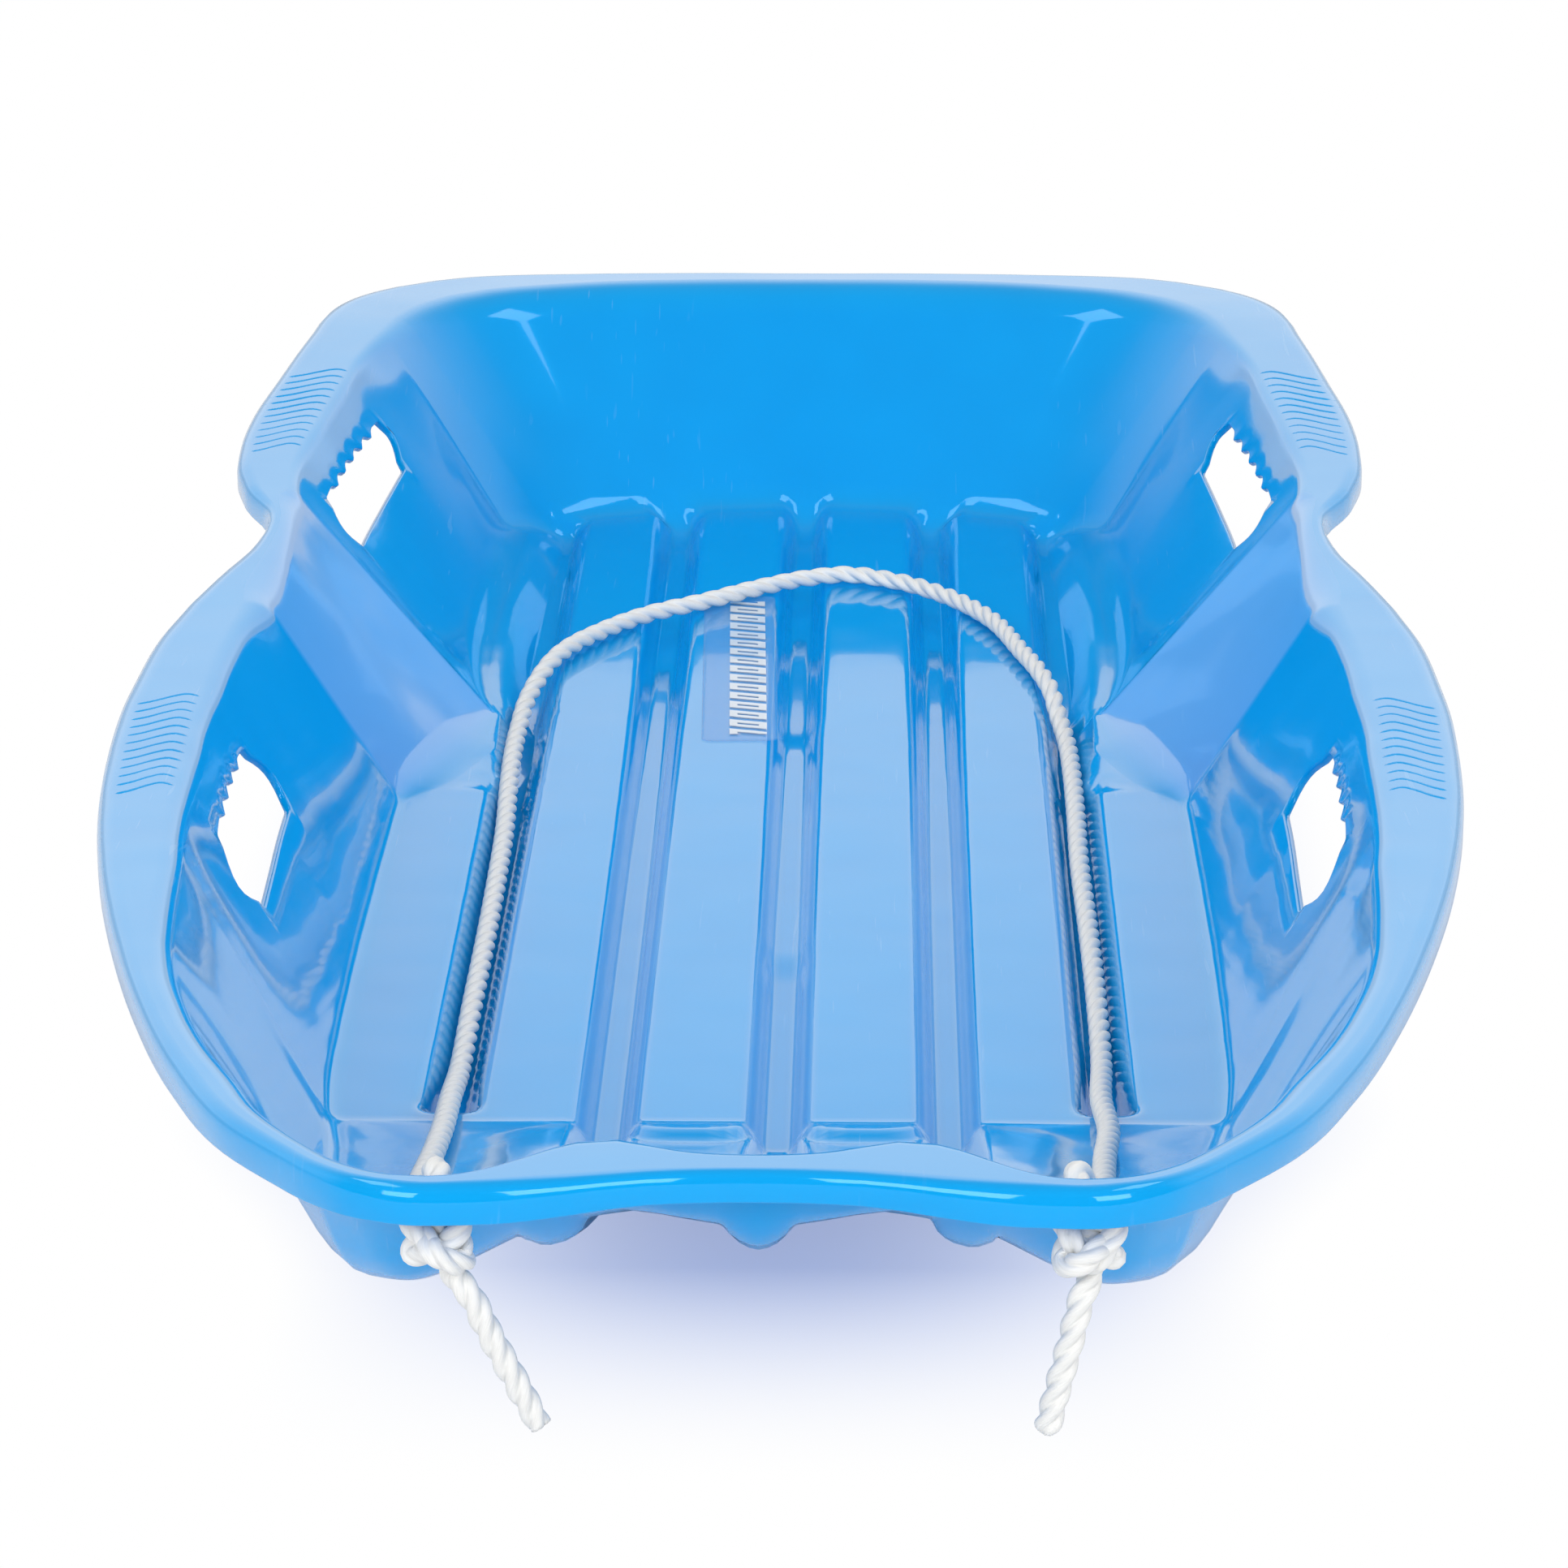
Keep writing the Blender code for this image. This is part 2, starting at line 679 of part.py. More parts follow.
def hole_cutter(cutters):
    drill = bmesh.new()
    bmesh.ops.create_cone(drill, cap_ends=True, segments=hole_sides, radius1=rope_hole_radius,
                          radius2=rope_hole_radius, depth=lip_drop)
    data = bpy.data.meshes.new("drill")
    drill.to_mesh(data)
    drill.free()
    return make_cutter("rope_hole_cutter", [(data, hole_frame())], cutters)


def cut_with(thing, name, cutter):
    cut = thing.modifiers.new(name, "BOOLEAN")
    cut.operation = "DIFFERENCE"
    cut.solver = "EXACT"
    cut.object = cutter


def make_shell(parts, cutters):
    """The tray: one moulded sheet with a turned-down rim, cut for the hands and the rope."""
    mesh = tray_half_mesh()
    data = bpy.data.meshes.new("shell")
    mesh.to_mesh(data)
    mesh.free()
    smooth_shading(data, tray_crease)
    shell = place_object("shell", data, parts, make_material("azure_plastic", azure_look))
    mirror_across(shell)
    sheet = shell.modifiers.new("Sheet", "SOLIDIFY")
    sheet.thickness = wall
    sheet.offset = -1
    sheet.use_even_offset = True
    cut_with(shell, "Hand slots", slot_cutter(cutters))
    cut_with(shell, "Rope holes", hole_cutter(cutters))
    return shell


def rope_tube(name, spots, parts, material):
    """A plain tube through a list of spots."""
    curve = bpy.data.curves.new(name, "CURVE")
    curve.dimensions = "3D"
    curve.bevel_depth = rope_radius
    curve.bevel_resolution = rope_bevel_resolution
    curve.use_fill_caps = True
    spline = curve.splines.new("POLY")
    spline.points.add(len(spots) - 1)
    for point, spot in zip(spline.points, spots):
        point.co = (*spot, 1)
    return place_object(name, curve, parts, material)


def spread_along(route, count):
    """Evenly spread spots on a smooth curve through a route."""
    points = [Vector(point) for point in route]
    return [point_along(points, index / (count - 1)) for index in range(count)]


def knot_frame(side):
    """The frame of a rope hole on one side, with Z pointing out of the tray below the nose."""
    frame = hole_frame()
    down = frame.to_3x3() @ Vector((0, 0, 1))
    down.x = 0
    down = down.normalized() * math.copysign(1, -down.z)
    across = Vector((1, 0, 0))
    turned = Matrix((across, down.cross(across), down)).transposed().to_4x4()
    spot = frame.translation
    turned.translation = Vector((spot.x * side, spot.y, spot.z))
    return turned


def make_knot(name, side, parts, material):
    """An overhand knot as a lumpy ball with a flat seat for the rope and one for its tail."""
    ball = bmesh.new()
    bmesh.ops.create_uvsphere(ball, u_segments=knot_sides, v_segments=knot_rings, radius=1)
    half = Vector((knot_width / 2, knot_depth / 2, knot_height / 2))
    for vert in ball.verts:
        turn = math.atan2(vert.co.y, vert.co.x)
        lobes = math.sin(3 * turn + 2 * vert.co.z) * (1 - vert.co.z ** 2)
        vert.co = vert.co * half * (1 + knot_lobe / half.x * lobes)
    frame = knot_frame(side)
    seat_depth = wall + knot_gap_below_wall
    flat_height = half.z * knot_seat_share
    middle = frame @ Vector((knot_shift, 0, seat_depth + flat_height))
    ball.transform(Matrix.Translation(middle) @ frame.to_3x3().to_4x4())
    cut_flat(ball, frame @ Vector((0, 0, seat_depth)), frame.to_3x3() @ Vector((0, 0, -1)))
    cut_flat(ball, middle - Vector((0, 0, flat_height)), Vector((0, 0, -1)))
    data = bpy.data.meshes.new(name)
    ball.to_mesh(data)
    ball.free()
    smooth_shading(data, knot_crease)
    place_object(name, data, parts, material)
    return middle


def cut_flat(solid, spot, outward):
    """Cuts a closed solid flat at a plane and closes the cut."""
    pieces = list(solid.verts) + list(solid.edges) + list(solid.faces)
    cut = bmesh.ops.bisect_plane(solid, geom=pieces, plane_co=spot, plane_no=outward,
                                 clear_outer=True)
    border = [piece for piece in cut["geom_cut"] if isinstance(piece, bmesh.types.BMEdge)]
    bmesh.ops.edgeloop_fill(solid, edges=border)


def make_rope(parts):
    """The pull rope: the bow that lies in the tray, two knots and two hanging tails."""
    material = make_material("white_rope", white_look)
    ends = []
    for side in (-1, 1):
        frame = knot_frame(side)
        above = frame @ Vector((0, 0, -rope_reach_above_wall))
        below = frame @ Vector((0, 0, wall + rope_reach_below_wall))
        ends.append((below, above))
    route = [ends[0][1]] + list(bow_route) + [ends[1][1]]
    spots = [ends[0][0]] + spread_along(route, bow_points) + [ends[1][0]]
    rope_tube("rope_bow", spots, parts, material)
    for name, side, lead, drop in (("left", -1, left_tail_lead, left_tail_drop),
                                   ("right", 1, right_tail_lead, right_tail_drop)):
        middle = make_knot("rope_knot_" + name, side, parts, material)
        flat_height = knot_height / 2 * knot_seat_share
        start = middle + Vector((lead, 0, -flat_height - touching_gap))
        first = start - Vector((0, 0, rope_radius))
        tail = [first] + [start + Vector(step) for step in drop]
        rope_tube("rope_tail_" + name, [start] + spread_along(tail, tail_points), parts, material)


def make_film(parts):
    """The clear label film that lies on the panel left of the middle groove."""
    film = bmesh.new()
    bmesh.ops.create_cube(film, size=1)
    bmesh.ops.scale(film, verts=film.verts, vec=(film_width, film_length, film_thickness))
    data = bpy.data.meshes.new("label_film")
    film.to_mesh(data)
    film.free()
    label = place_object("label_film", data, parts, make_material("clear_film", film_look))
    label.rotation_euler = (0, 0, film_turn)
    height = floor_level + touching_gap + film_thickness / 2
    label.location = (film_offset, film_place_share * half_length, height)


def build():
    clear_scene()
    parts = make_collection("toboggan_sled")
    cutters = make_collection("cutters")
    make_shell(parts, cutters)
    make_rope(parts)
    make_film(parts)


build()
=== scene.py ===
"""Two-rider toboggan: a glossy moulded tray, a twisted white pull rope and a clear label
film. The nose points along -Y and the width along X. Every length is in metres.
"""
import math

import bmesh
import bpy
from mathutils import Matrix, Vector, noise


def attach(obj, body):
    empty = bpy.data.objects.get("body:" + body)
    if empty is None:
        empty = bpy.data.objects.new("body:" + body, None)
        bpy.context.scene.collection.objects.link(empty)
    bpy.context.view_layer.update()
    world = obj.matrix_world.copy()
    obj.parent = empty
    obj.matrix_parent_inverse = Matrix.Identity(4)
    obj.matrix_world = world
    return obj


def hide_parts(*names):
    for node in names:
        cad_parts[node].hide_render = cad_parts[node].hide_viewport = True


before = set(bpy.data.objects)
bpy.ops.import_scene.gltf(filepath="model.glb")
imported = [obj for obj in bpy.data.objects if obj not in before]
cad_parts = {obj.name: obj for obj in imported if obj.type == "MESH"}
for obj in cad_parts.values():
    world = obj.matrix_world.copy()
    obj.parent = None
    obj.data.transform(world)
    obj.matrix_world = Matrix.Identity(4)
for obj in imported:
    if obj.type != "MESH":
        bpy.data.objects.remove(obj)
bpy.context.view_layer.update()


# ---------------------------------------------------------------------------
# Camera: a long lens, well in front of the nose and a little to its right,
# which looks 19 degrees down along the tray.
# ---------------------------------------------------------------------------
camera_place = Vector((0.032, -1.9605, 0.726))
camera_pitch = math.radians(19.0)
camera_yaw = math.radians(0.99)
camera_roll = math.radians(-0.1)

view_line = Vector((-math.sin(camera_yaw) * math.cos(camera_pitch),
                    math.cos(camera_yaw) * math.cos(camera_pitch), -math.sin(camera_pitch)))
level_side = Vector((math.cos(camera_yaw), math.sin(camera_yaw), 0))
level_up = level_side.cross(view_line)
camera_side = level_side * math.cos(camera_roll) + level_up * math.sin(camera_roll)
camera_up = level_up * math.cos(camera_roll) - level_side * math.sin(camera_roll)
camera_data = bpy.data.cameras.new("camera")
camera_data.lens = 123.37
camera_data.sensor_width = 36
camera_data.clip_end = 50
camera = bpy.data.objects.new("camera", camera_data)
bpy.context.scene.collection.objects.link(camera)
camera.matrix_world = Matrix((camera_side, camera_up, -view_line)).transposed().to_4x4()
camera.matrix_world.translation = camera_place
bpy.context.scene.camera = camera
bpy.context.scene.view_settings.view_transform = "Standard"


# ---------------------------------------------------------------------------
# Tray: one sheet of glossy azure plastic, drawn over a mould into a floor with
# five runners, leaning walls and a turned-down rim. The hand slots and the two
# rope holes are cut out of it afterwards.
# ---------------------------------------------------------------------------
# Whole tray and rim
tray_length = 1.200
tray_width = 0.490
nose_height = 0.140
waist_height = 0.106
tail_height = 0.111
wall = 0.003
flange_width = 0.0325
lip_drop = 0.012
nose_lip_lift = 0.0025
lip_radius = 0.006
crest_radius = 0.005
rear_tilt = 0.0020
bend_room_share = 0.38
waist_place_share = 0.28333

# Floor, and the ramp at its nose. The floor's places count along the tray.
floor_half_width = 0.1585
waist_half_width = 0.128
waist_foot_bow = 0.0035
rear_foot_bow = 0.0100
tail_half_width = 0.140
nose_half_width = floor_half_width * 0.735
floor_nose_end = -0.541
floor_nose_bow = 0.033
floor_bay_middle = -0.090
floor_front_crease = 0.0845
floor_rear_crease = 0.198
floor_tail_end = 0.469
floor_tail_bow = 0.047
floor_fillet = 0.012
fillet_room_share = 0.33
floor_end_reach = 0.080
ramp_start = -0.250
ramp_rise_middle = 0.0965
ramp_rise_corner = 0.0735
ramp_corner_share = 0.45
ramp_curve = 1.15

# Grooves and the lower panels between them
groove_depth = 0.0115
groove_nose_depth = 0.0104
groove_nose_run = 0.080
groove_top_width = 0.0215
groove_bottom_width = 0.0090
groove_offsets = (0.0, 0.0592, 0.1140)
groove_slope_places = (0.0018, 0.0038, 0.0054, 0.0068, 0.0085, 0.0102, 0.0120, 0.0138)
outer_grooves_from = 0.0866
outer_groove_nose_end = -0.2425
middle_groove_rise = 0.0015
middle_rise_ends = (-0.090, 0.205)
keel_reach = 0.110
keel_radius = 0.0070
keel_flank = 0.0200
panel_nose_end = -0.2665
panel_step = 0.0040
panel_step_run = 0.0060
panel_inner_edge = 0.0248
panel_outer_edge = 0.04845
panel_corner = 0.014
panel_corner_bow = 0.012
outer_column = 0.147

# Hand slots, front and rear, in each slot's own frame: its corners are the lower front and
# rear one and the upper front and rear one.
slot_height = 0.030
slot_level = 0.079
slot_band_ends = (-0.285, 0.475)
slot_band_fade = 0.08
slot_places = (-0.130, 0.319)
slot_spans = ((0.0065, 0.0585), (0.0015, 0.0745))
slot_corners = (((-0.0470, -0.0187), (0.0700, -0.0182), (-0.0530, 0.0140), (0.0600, 0.0125)),
                ((-0.0745, -0.0090), (0.0700, -0.0137), (-0.0660, 0.0155), (0.0810, 0.0095)))
slot_arches = (0.0030, 0.0020)
slot_end_bows = ((0.0120, 0.0065), (0.0065, 0.0065))
slot_corner_radius = 0.0045
finger_peaks = ((-0.48, 0.34, 4), (-0.56, 0.295, 5))
finger_depth = 0.0032
slot_fit_step = 0.004

# Rope holes, and the sheet's small unevenness
hole_radius = 0.0055
hole_offset = 0.0905
hole_drop = 0.018
hole_patch_radius = 0.014
sheet_wave = 0.00014
cut_edge_round = 0.0007

# Azure plastic: two tones of the moulding, a paler azure painted on the waist's slopes as a painted
# reflection, and its scuffs
azure_deep = (0.0, 0.345, 0.81, 1)
azure_light = (0.0, 0.385, 0.87, 1)
azure_painted_reflection = (0.175, 0.46, 0.90, 1)
azure_scuffed = (0.30, 0.60, 0.95, 1)
azure_gloss_tint = (0.05, 0.55, 1.0, 1)

half_length = tray_length / 2
half_width = tray_width / 2
crest_half_width = half_width - flange_width
floor_level = groove_depth + wall

# The lip, in shares of half the width and half the length, in six stretches which end at
# the nose corner, the middle of the front bay, the front and the rear crease of the waist,
# the tail corner and the tail's middle. A station counts along them from 0 to 6.
lip_shares = (
    ((0.0, -0.9775), (0.122, -0.9817), (0.224, -0.9933), (0.327, -1.0), (0.400, -1.0),
     (0.465, -0.9875), (0.518, -0.965), (0.555, -0.9433)),
    ((0.555, -0.9433), (0.6265, -0.898), (0.7245, -0.798), (0.802, -0.689), (0.867, -0.577),
     (0.9245, -0.457), (0.969, -0.330), (0.995, -0.197), (1.0, -0.150)),
    ((1.0, -0.150), (1.0, -0.070), (0.993, 0.015), (0.970, 0.095)),
    ((0.970, 0.095), (0.939, 0.165), (0.900, 0.240), (0.891, 0.282), (0.899, 0.319),
     (0.936, 0.358), (0.955, 0.380)),
    ((0.955, 0.380), (0.982, 0.430), (0.994, 0.492), (0.993, 0.575), (0.976, 0.667),
     (0.957, 0.758), (0.945, 0.808)),
    ((0.945, 0.808), (0.933, 0.860), (0.921, 0.884), (0.899, 0.909), (0.863, 0.934),
     (0.805, 0.959), (0.691, 0.983), (0.444, 0.996), (0.0, 1.0)),
)
# The crest, where the flange turns down into the tray, in shares of its own half width.
crest_shares = (
    ((0.0, -0.945), (0.094, -0.9408), (0.158, -0.9292), (0.206, -0.9225), (0.248, -0.9308),
     (0.307, -0.9533), (0.340, -0.9667), (0.386, -0.9783), (0.435, -0.9808), (0.485, -0.9767),
     (0.544, -0.9617), (0.600, -0.934)),
    ((0.600, -0.934), (0.642, -0.9095), (0.684, -0.8808), (0.733, -0.8325), (0.803, -0.766),
     (0.866, -0.6855), (0.911, -0.6015), (0.933, -0.5265), (0.952, -0.436), (0.970, -0.3693),
     (0.981, -0.3075), (0.989, -0.237), (1.0, -0.150)),
    ((1.0, -0.150), (1.0, -0.083), (1.0, -0.013), (0.991, 0.050), (0.972, 0.093)),
    ((0.972, 0.093), (0.980, 0.190), (0.986, 0.275), (0.999, 0.3667)),
    ((0.999, 0.3667), (1.009, 0.420), (0.992, 0.550), (0.972, 0.650), (0.954, 0.7305),
     (0.919, 0.7885)),
    ((0.919, 0.7885), (0.885, 0.833), (0.834, 0.8683), (0.760, 0.898), (0.537, 0.930),
     (0.250, 0.943), (0.0, 0.945)),
)
crease_joints = (3, 4)
crease_blur = ((-0.0025, 1), (-0.0012, 2), (0.0, 3), (0.0012, 2), (0.0025, 1))
stretch_metres = (0.165, 0.470, 0.175, 0.120, 0.290, 0.200)
floor_bay_shares = ((0.0, 0.0), (0.06, 0.14), (0.20, 0.35), (0.38, 0.60), (0.55, 0.79),
                    (0.70, 0.955), (0.80, 0.98), (1.0, 1.0))
floor_nose_bow_shares = ((0.0, -0.42), (0.27, -0.21), (0.40, 0.0), (0.54, -0.12),
                         (0.71, -0.24), (0.88, -0.24), (1.0, 0.0))
floor_tail_bow_shares = ((0.0, 1.0), (0.43, 0.81), (0.80, 0.45), (0.93, 0.23), (1.0, 0.0))
crest_soft_shares = ((0.0, 1.0), (2.80, 1.0), (3.20, 2.2), (3.85, 2.2), (3.99, 0.6), (4.85, 0.6),
                     (5.05, 1.0), (5.35, 2.6), (6.0, 3.0))
fillet_soft_shares = ((0.0, 1.2), (1.0, 1.2), (1.35, 0.5), (2.97, 0.35), (3.12, 1.1),
                      (3.60, 1.0), (4.0, 0.2), (4.3, 0.5), (5.0, 0.8), (6.0, 0.9))
fillet_steps = 4
wall_steps = 14
slot_low_step = 5
slot_high_step = 11
bend_steps = 4
flange_shares = (0.06, 0.32, 0.60, 0.90, 1.0)
end_ring_gap = 0.0022
lip_steps = 3
wall_foot_level = fillet_steps
wall_top_level = fillet_steps + wall_steps


def mix(low, high, share):
    return low + (high - low) * share


def clamp(value):
    return min(max(value, 0.0), 1.0)


def ease(value):
    value = clamp(value)
    return value * value * (3 - 2 * value)


def soft_ramp(value, softness):
    """Rises from 0 to 1 as value does, with both ends of the slope rounded."""
    def area(reach):
        if reach < 0:
            return 0.0
        return reach * reach / 2 if reach < 1 else reach - 0.5
    return (area(value + softness) - area(value - softness)) / (2 * softness)


def table_value(table, place):
    for (start, low), (end, high) in zip(table, table[1:]):
        if place <= end:
            return mix(low, high, clamp((place - start) / (end - start)))
    return table[-1][1]


def heading(before, here, after, reach_before, reach_after):
    """The direction of a smooth curve at a point, per unit of its length."""
    if reach_before < 1e-9:
        return (after - here) / reach_after
    if reach_after < 1e-9:
        return (here - before) / reach_before
    return ((here - before) / reach_before * reach_after
            + (after - here) / reach_after * reach_before) / (reach_before + reach_after)


def smooth_curve(points, reaches, reach):
    """The point at a reach on the smooth curve through points that lie at these reaches.

    The first and the last point only lead the curve in and out."""
    index = 1
    while index < len(points) - 3 and reach > reaches[index + 1]:
        index += 1
    gaps = [reaches[index + k + 1] - reaches[index + k] for k in (-1, 0, 1)]
    leave = heading(*points[index - 1:index + 2], gaps[0], gaps[1]) * gaps[1]
    arrive = heading(*points[index:index + 3], gaps[1], gaps[2]) * gaps[1]
    share = clamp((reach - reaches[index]) / gaps[1])
    square = share * share
    cube = square * share
    return (points[index] * (2 * cube - 3 * square + 1) + leave * (cube - 2 * square + share)
            + points[index + 1] * (3 * square - 2 * cube) + arrive * (cube - square))


def smooth_table_value(table, place):
    places = [pair[0] for pair in table]
    values = [pair[1] for pair in table]
    places = [places[0]] + places + [places[-1]]
    values = [values[0]] + values + [values[-1]]
    return smooth_curve(values, places, place)


def reaches_of(points):
    reaches = [0.0]
    for start, end in zip(points, points[1:]):
        reaches.append(reaches[-1] + (end - start).length)
    return reaches


def outline_curves(stretches, width):
    """Each stretch as points and reaches, led in and out by its neighbours' points."""
    flat = [[Vector((x * width, y * half_length, 0)) for x, y in stretch] for stretch in stretches]
    curves = []
    for number, points in enumerate(flat):
        before, after = points[0], points[-1]
        if number == 0:
            before = Vector((-points[1].x, points[1].y, 0))
        elif number not in crease_joints:
            before = flat[number - 1][-2]
        if number == len(flat) - 1:
            after = Vector((-points[-2].x, points[-2].y, 0))
        elif number + 1 not in crease_joints:
            after = flat[number + 1][1]
        whole = [before] + points + [after]
        curves.append((whole, reaches_of(whole)))
    return curves


lip_curves = outline_curves(lip_shares, half_width)
crest_curves = outline_curves(crest_shares, crest_half_width)


def rim_height(place):
    beyond_waist = place / half_length - waist_place_share
    if beyond_waist < 0:
        return mix(waist_height, nose_height, (beyond_waist / (1 + waist_place_share)) ** 2)
    return mix(waist_height, tail_height, (beyond_waist / (1 - waist_place_share)) ** 2)


def outline_point(curves, station):
    stretch = min(int(station), len(curves) - 1)
    points, reaches = curves[stretch]
    spot = smooth_curve(points, reaches, mix(reaches[1], reaches[-2], station - stretch))
    spot.z = rim_height(spot.y)
    return spot


def ramp_height(across, place):
    """Height of the floor between the grooves, which ramps up towards the nose."""
    corner = ease((abs(across) / nose_half_width - ramp_corner_share) / ramp_corner_share)
    rise = mix(ramp_rise_middle, ramp_rise_corner, corner)
    reach = clamp((ramp_start - place) / (ramp_start - floor_nose_end))
    return floor_level + rise * reach ** ramp_curve


def floor_edge(station):
    """A point of the floor's edge, where the wall starts, before its corner is rounded."""
    share = station - int(station)
    if station < 1:
        across = nose_half_width * station
        place = floor_nose_end + floor_nose_bow * smooth_table_value(floor_nose_bow_shares, share)
    elif station < 2:
        across = mix(nose_half_width, floor_half_width, smooth_table_value(floor_bay_shares, share))
        place = mix(floor_nose_end, floor_bay_middle, share)
    elif station < 3:
        across = floor_half_width
        place = mix(floor_bay_middle, floor_front_crease, share)
    elif station < 4:
        across = mix(floor_half_width, waist_half_width, share)
        across -= waist_foot_bow * math.sin(math.pi * share)
        place = mix(floor_front_crease, floor_rear_crease, share)
    elif station < 5:
        across = mix(waist_half_width, tail_half_width, share)
        across += rear_foot_bow * math.sin(math.pi * share ** 0.6)
        place = mix(floor_rear_crease, floor_tail_end, share)
    else:
        inward = 6 - station
        across = tail_half_width * inward
        place = floor_tail_end + floor_tail_bow * smooth_table_value(floor_tail_bow_shares, inward)
    return Vector((across, place, ramp_height(across, place)))


def rounded(start, corner, end, steps):
    """The points after start, up to end, on a curve that rounds a corner."""
    points = []
    for step in range(1, steps + 1):
        share = step / steps
        points.append(start.lerp(corner, share).lerp(corner.lerp(end, share), share))
    return points


def wall_share(station_place, low, high, step):
    """How far up the wall a ring lies. Near the slots the rings follow their level, and a
    ring lies close to each end of the wall, so that its bends stay crisp."""
    edge = end_ring_gap / (high - low).length
    if step in (0, wall_steps):
        return step / wall_steps
    natural = mix(edge, 1 - edge, (step - 1) / (wall_steps - 2))
    weight = ease((station_place - slot_band_ends[0]) / slot_band_fade)
    weight *= ease((slot_band_ends[1] - station_place) / slot_band_fade)
    middle = (slot_level - low.z) / (high.z - low.z)
    band = slot_height / 2 / (high - low).length
    if step <= slot_low_step:
        near = mix(edge, middle - band, (step - 1) / (slot_low_step - 1))
    elif step <= slot_high_step:
        near = middle + band * (2 * (step - slot_low_step) / (slot_high_step - slot_low_step) - 1)
    else:
        near = mix(middle + band, 1 - edge,
                   (step - slot_high_step) / (wall_steps - 1 - slot_high_step))
    return mix(natural, near, weight)


def plain_section(station):
    """The tray's section at a station, from the floor's border out to the lip's lower edge."""
    foot = floor_edge(station)
    crest = outline_point(crest_curves, station)
    lip = outline_point(lip_curves, station)
    lip.z -= rear_tilt * ease((station - 5.0) / 0.35)
    inward = Vector((foot.x - crest.x, foot.y - crest.y, 0)).normalized()
    climb = (crest - foot).normalized()
    outward = (lip - crest).normalized()
    room = (lip - crest).length * bend_room_share
    fillet = min(floor_fillet * table_value(fillet_soft_shares, station),
                 (crest - foot).length * fillet_room_share)
    border = foot + inward * fillet
    border.z = ramp_height(border.x, border.y)
    crest_bend = min(crest_radius * table_value(crest_soft_shares, station), room)
    lip_bend = min(lip_radius * mix(0.65, 1.0, ease((station - 0.2) / 0.4)), room)
    low = foot + climb * fillet
    high = crest - climb * crest_bend
    points = [border] + rounded(border, foot, low, fillet_steps)
    for step in range(1, wall_steps + 1):
        points.append(low.lerp(high, wall_share(foot.lerp(crest, 0.6).y, low, high, step)))
    crest_end = crest + outward * crest_bend
    lip_start = lip - outward * lip_bend
    points += rounded(high, crest, crest_end, bend_steps)
    for share in flange_shares:
        points.append(crest_end.lerp(lip_start, share))
    points += rounded(lip_start, lip, lip - Vector((0, 0, lip_bend)), lip_steps)
    points.append(lip - Vector((0, 0, lip_drop - nose_lip_lift * ease((0.5 - station) / 0.3))))
    return points


def moved_station(station, metres):
    """The station some metres further round, and -1 where that crosses the middle."""
    while abs(metres) > 1e-9:
        stretch = min(int(station), 5)
        if metres < 0 and station == stretch and station > 0:
            stretch -= 1
        target = station + metres / stretch_metres[stretch]
        bound = stretch + 1 if metres > 0 else stretch
        passed = target > bound if metres > 0 else target < bound
        if not passed:
            return target, 1
        metres -= (bound - station) * stretch_metres[stretch]
        if bound in (0, 6):
            return moved_station(bound, -metres)[0], -1
        station = bound
    return station, 1


section_cache = {}


def section(station):
    """The section with the creases of the mould softened, as a mean over 5 mm."""
    if station not in section_cache:
        total = None
        whole = sum(weight for metres, weight in crease_blur)
        for metres, weight in crease_blur:
            near, side = moved_station(station, metres)
            points = [Vector((p.x * side, p.y, p.z)) * (weight / whole)
                      for p in plain_section(near)]
            total = points if total is None else [a + b for a, b in zip(total, points)]
        if station in (0.0, 6.0):
            total = [Vector((0, p.y, p.z)) for p in total]
        section_cache[station] = total
    return section_cache[station]


def groove_fullness(across, roundness):
    """1 over the bottom of a groove, 0 between the grooves, and a soft slope in between."""
    run = (groove_top_width - groove_bottom_width) / 2
    nearest = min(abs(abs(across) - offset) for offset in groove_offsets)
    slope = (groove_top_width / 2 - nearest) / run
    trough = clamp(soft_ramp(slope, mix(0.44, 0.20, clamp(slope))))
    keel = 0.66 * math.sqrt(max(0.0, 1 - (nearest / keel_radius) ** 2))
    keel += 0.34 * clamp((keel_radius + keel_flank - nearest) / keel_flank)
    return mix(keel, trough, roundness)


def floor_sink(across, place, nose_room, tail_room):
    """How far the grooves and the step before the middle panels lie under the floor."""
    nose_run = clamp((place - floor_nose_end) / groove_nose_run)
    full = groove_fullness(across, ease((place - floor_nose_end) / keel_reach))
    depth = mix(groove_nose_depth, groove_depth, nose_run) * full
    if abs(across) < 0.02:
        start, end = middle_rise_ends
        rise = middle_groove_rise * ease((place - start) / 0.03) * ease((end - place) / 0.03)
        depth -= rise * full
    depth *= mix(0.62, 1.0, soft_ramp(tail_room / 0.011, 0.3))
    if abs(across) > outer_grooves_from:
        depth *= soft_ramp((place - outer_groove_nose_end) / 0.0085, 0.35)
    if abs(across) < panel_outer_edge + 0.004:
        corner = max(0.0, abs(across) - (panel_outer_edge - panel_corner)) / panel_corner
        corner = max(corner, max(0.0, panel_inner_edge - abs(across)) / panel_corner)
        curve = panel_corner_bow * (1 - math.sqrt(max(0.0, 1 - min(corner, 1.0) ** 2)))
        step = soft_ramp((panel_nose_end + curve - place) / panel_step_run, 0.38)
        fade = clamp(nose_room / (panel_nose_end - floor_nose_end))
        depth = max(depth, panel_step * step * fade)
    return depth


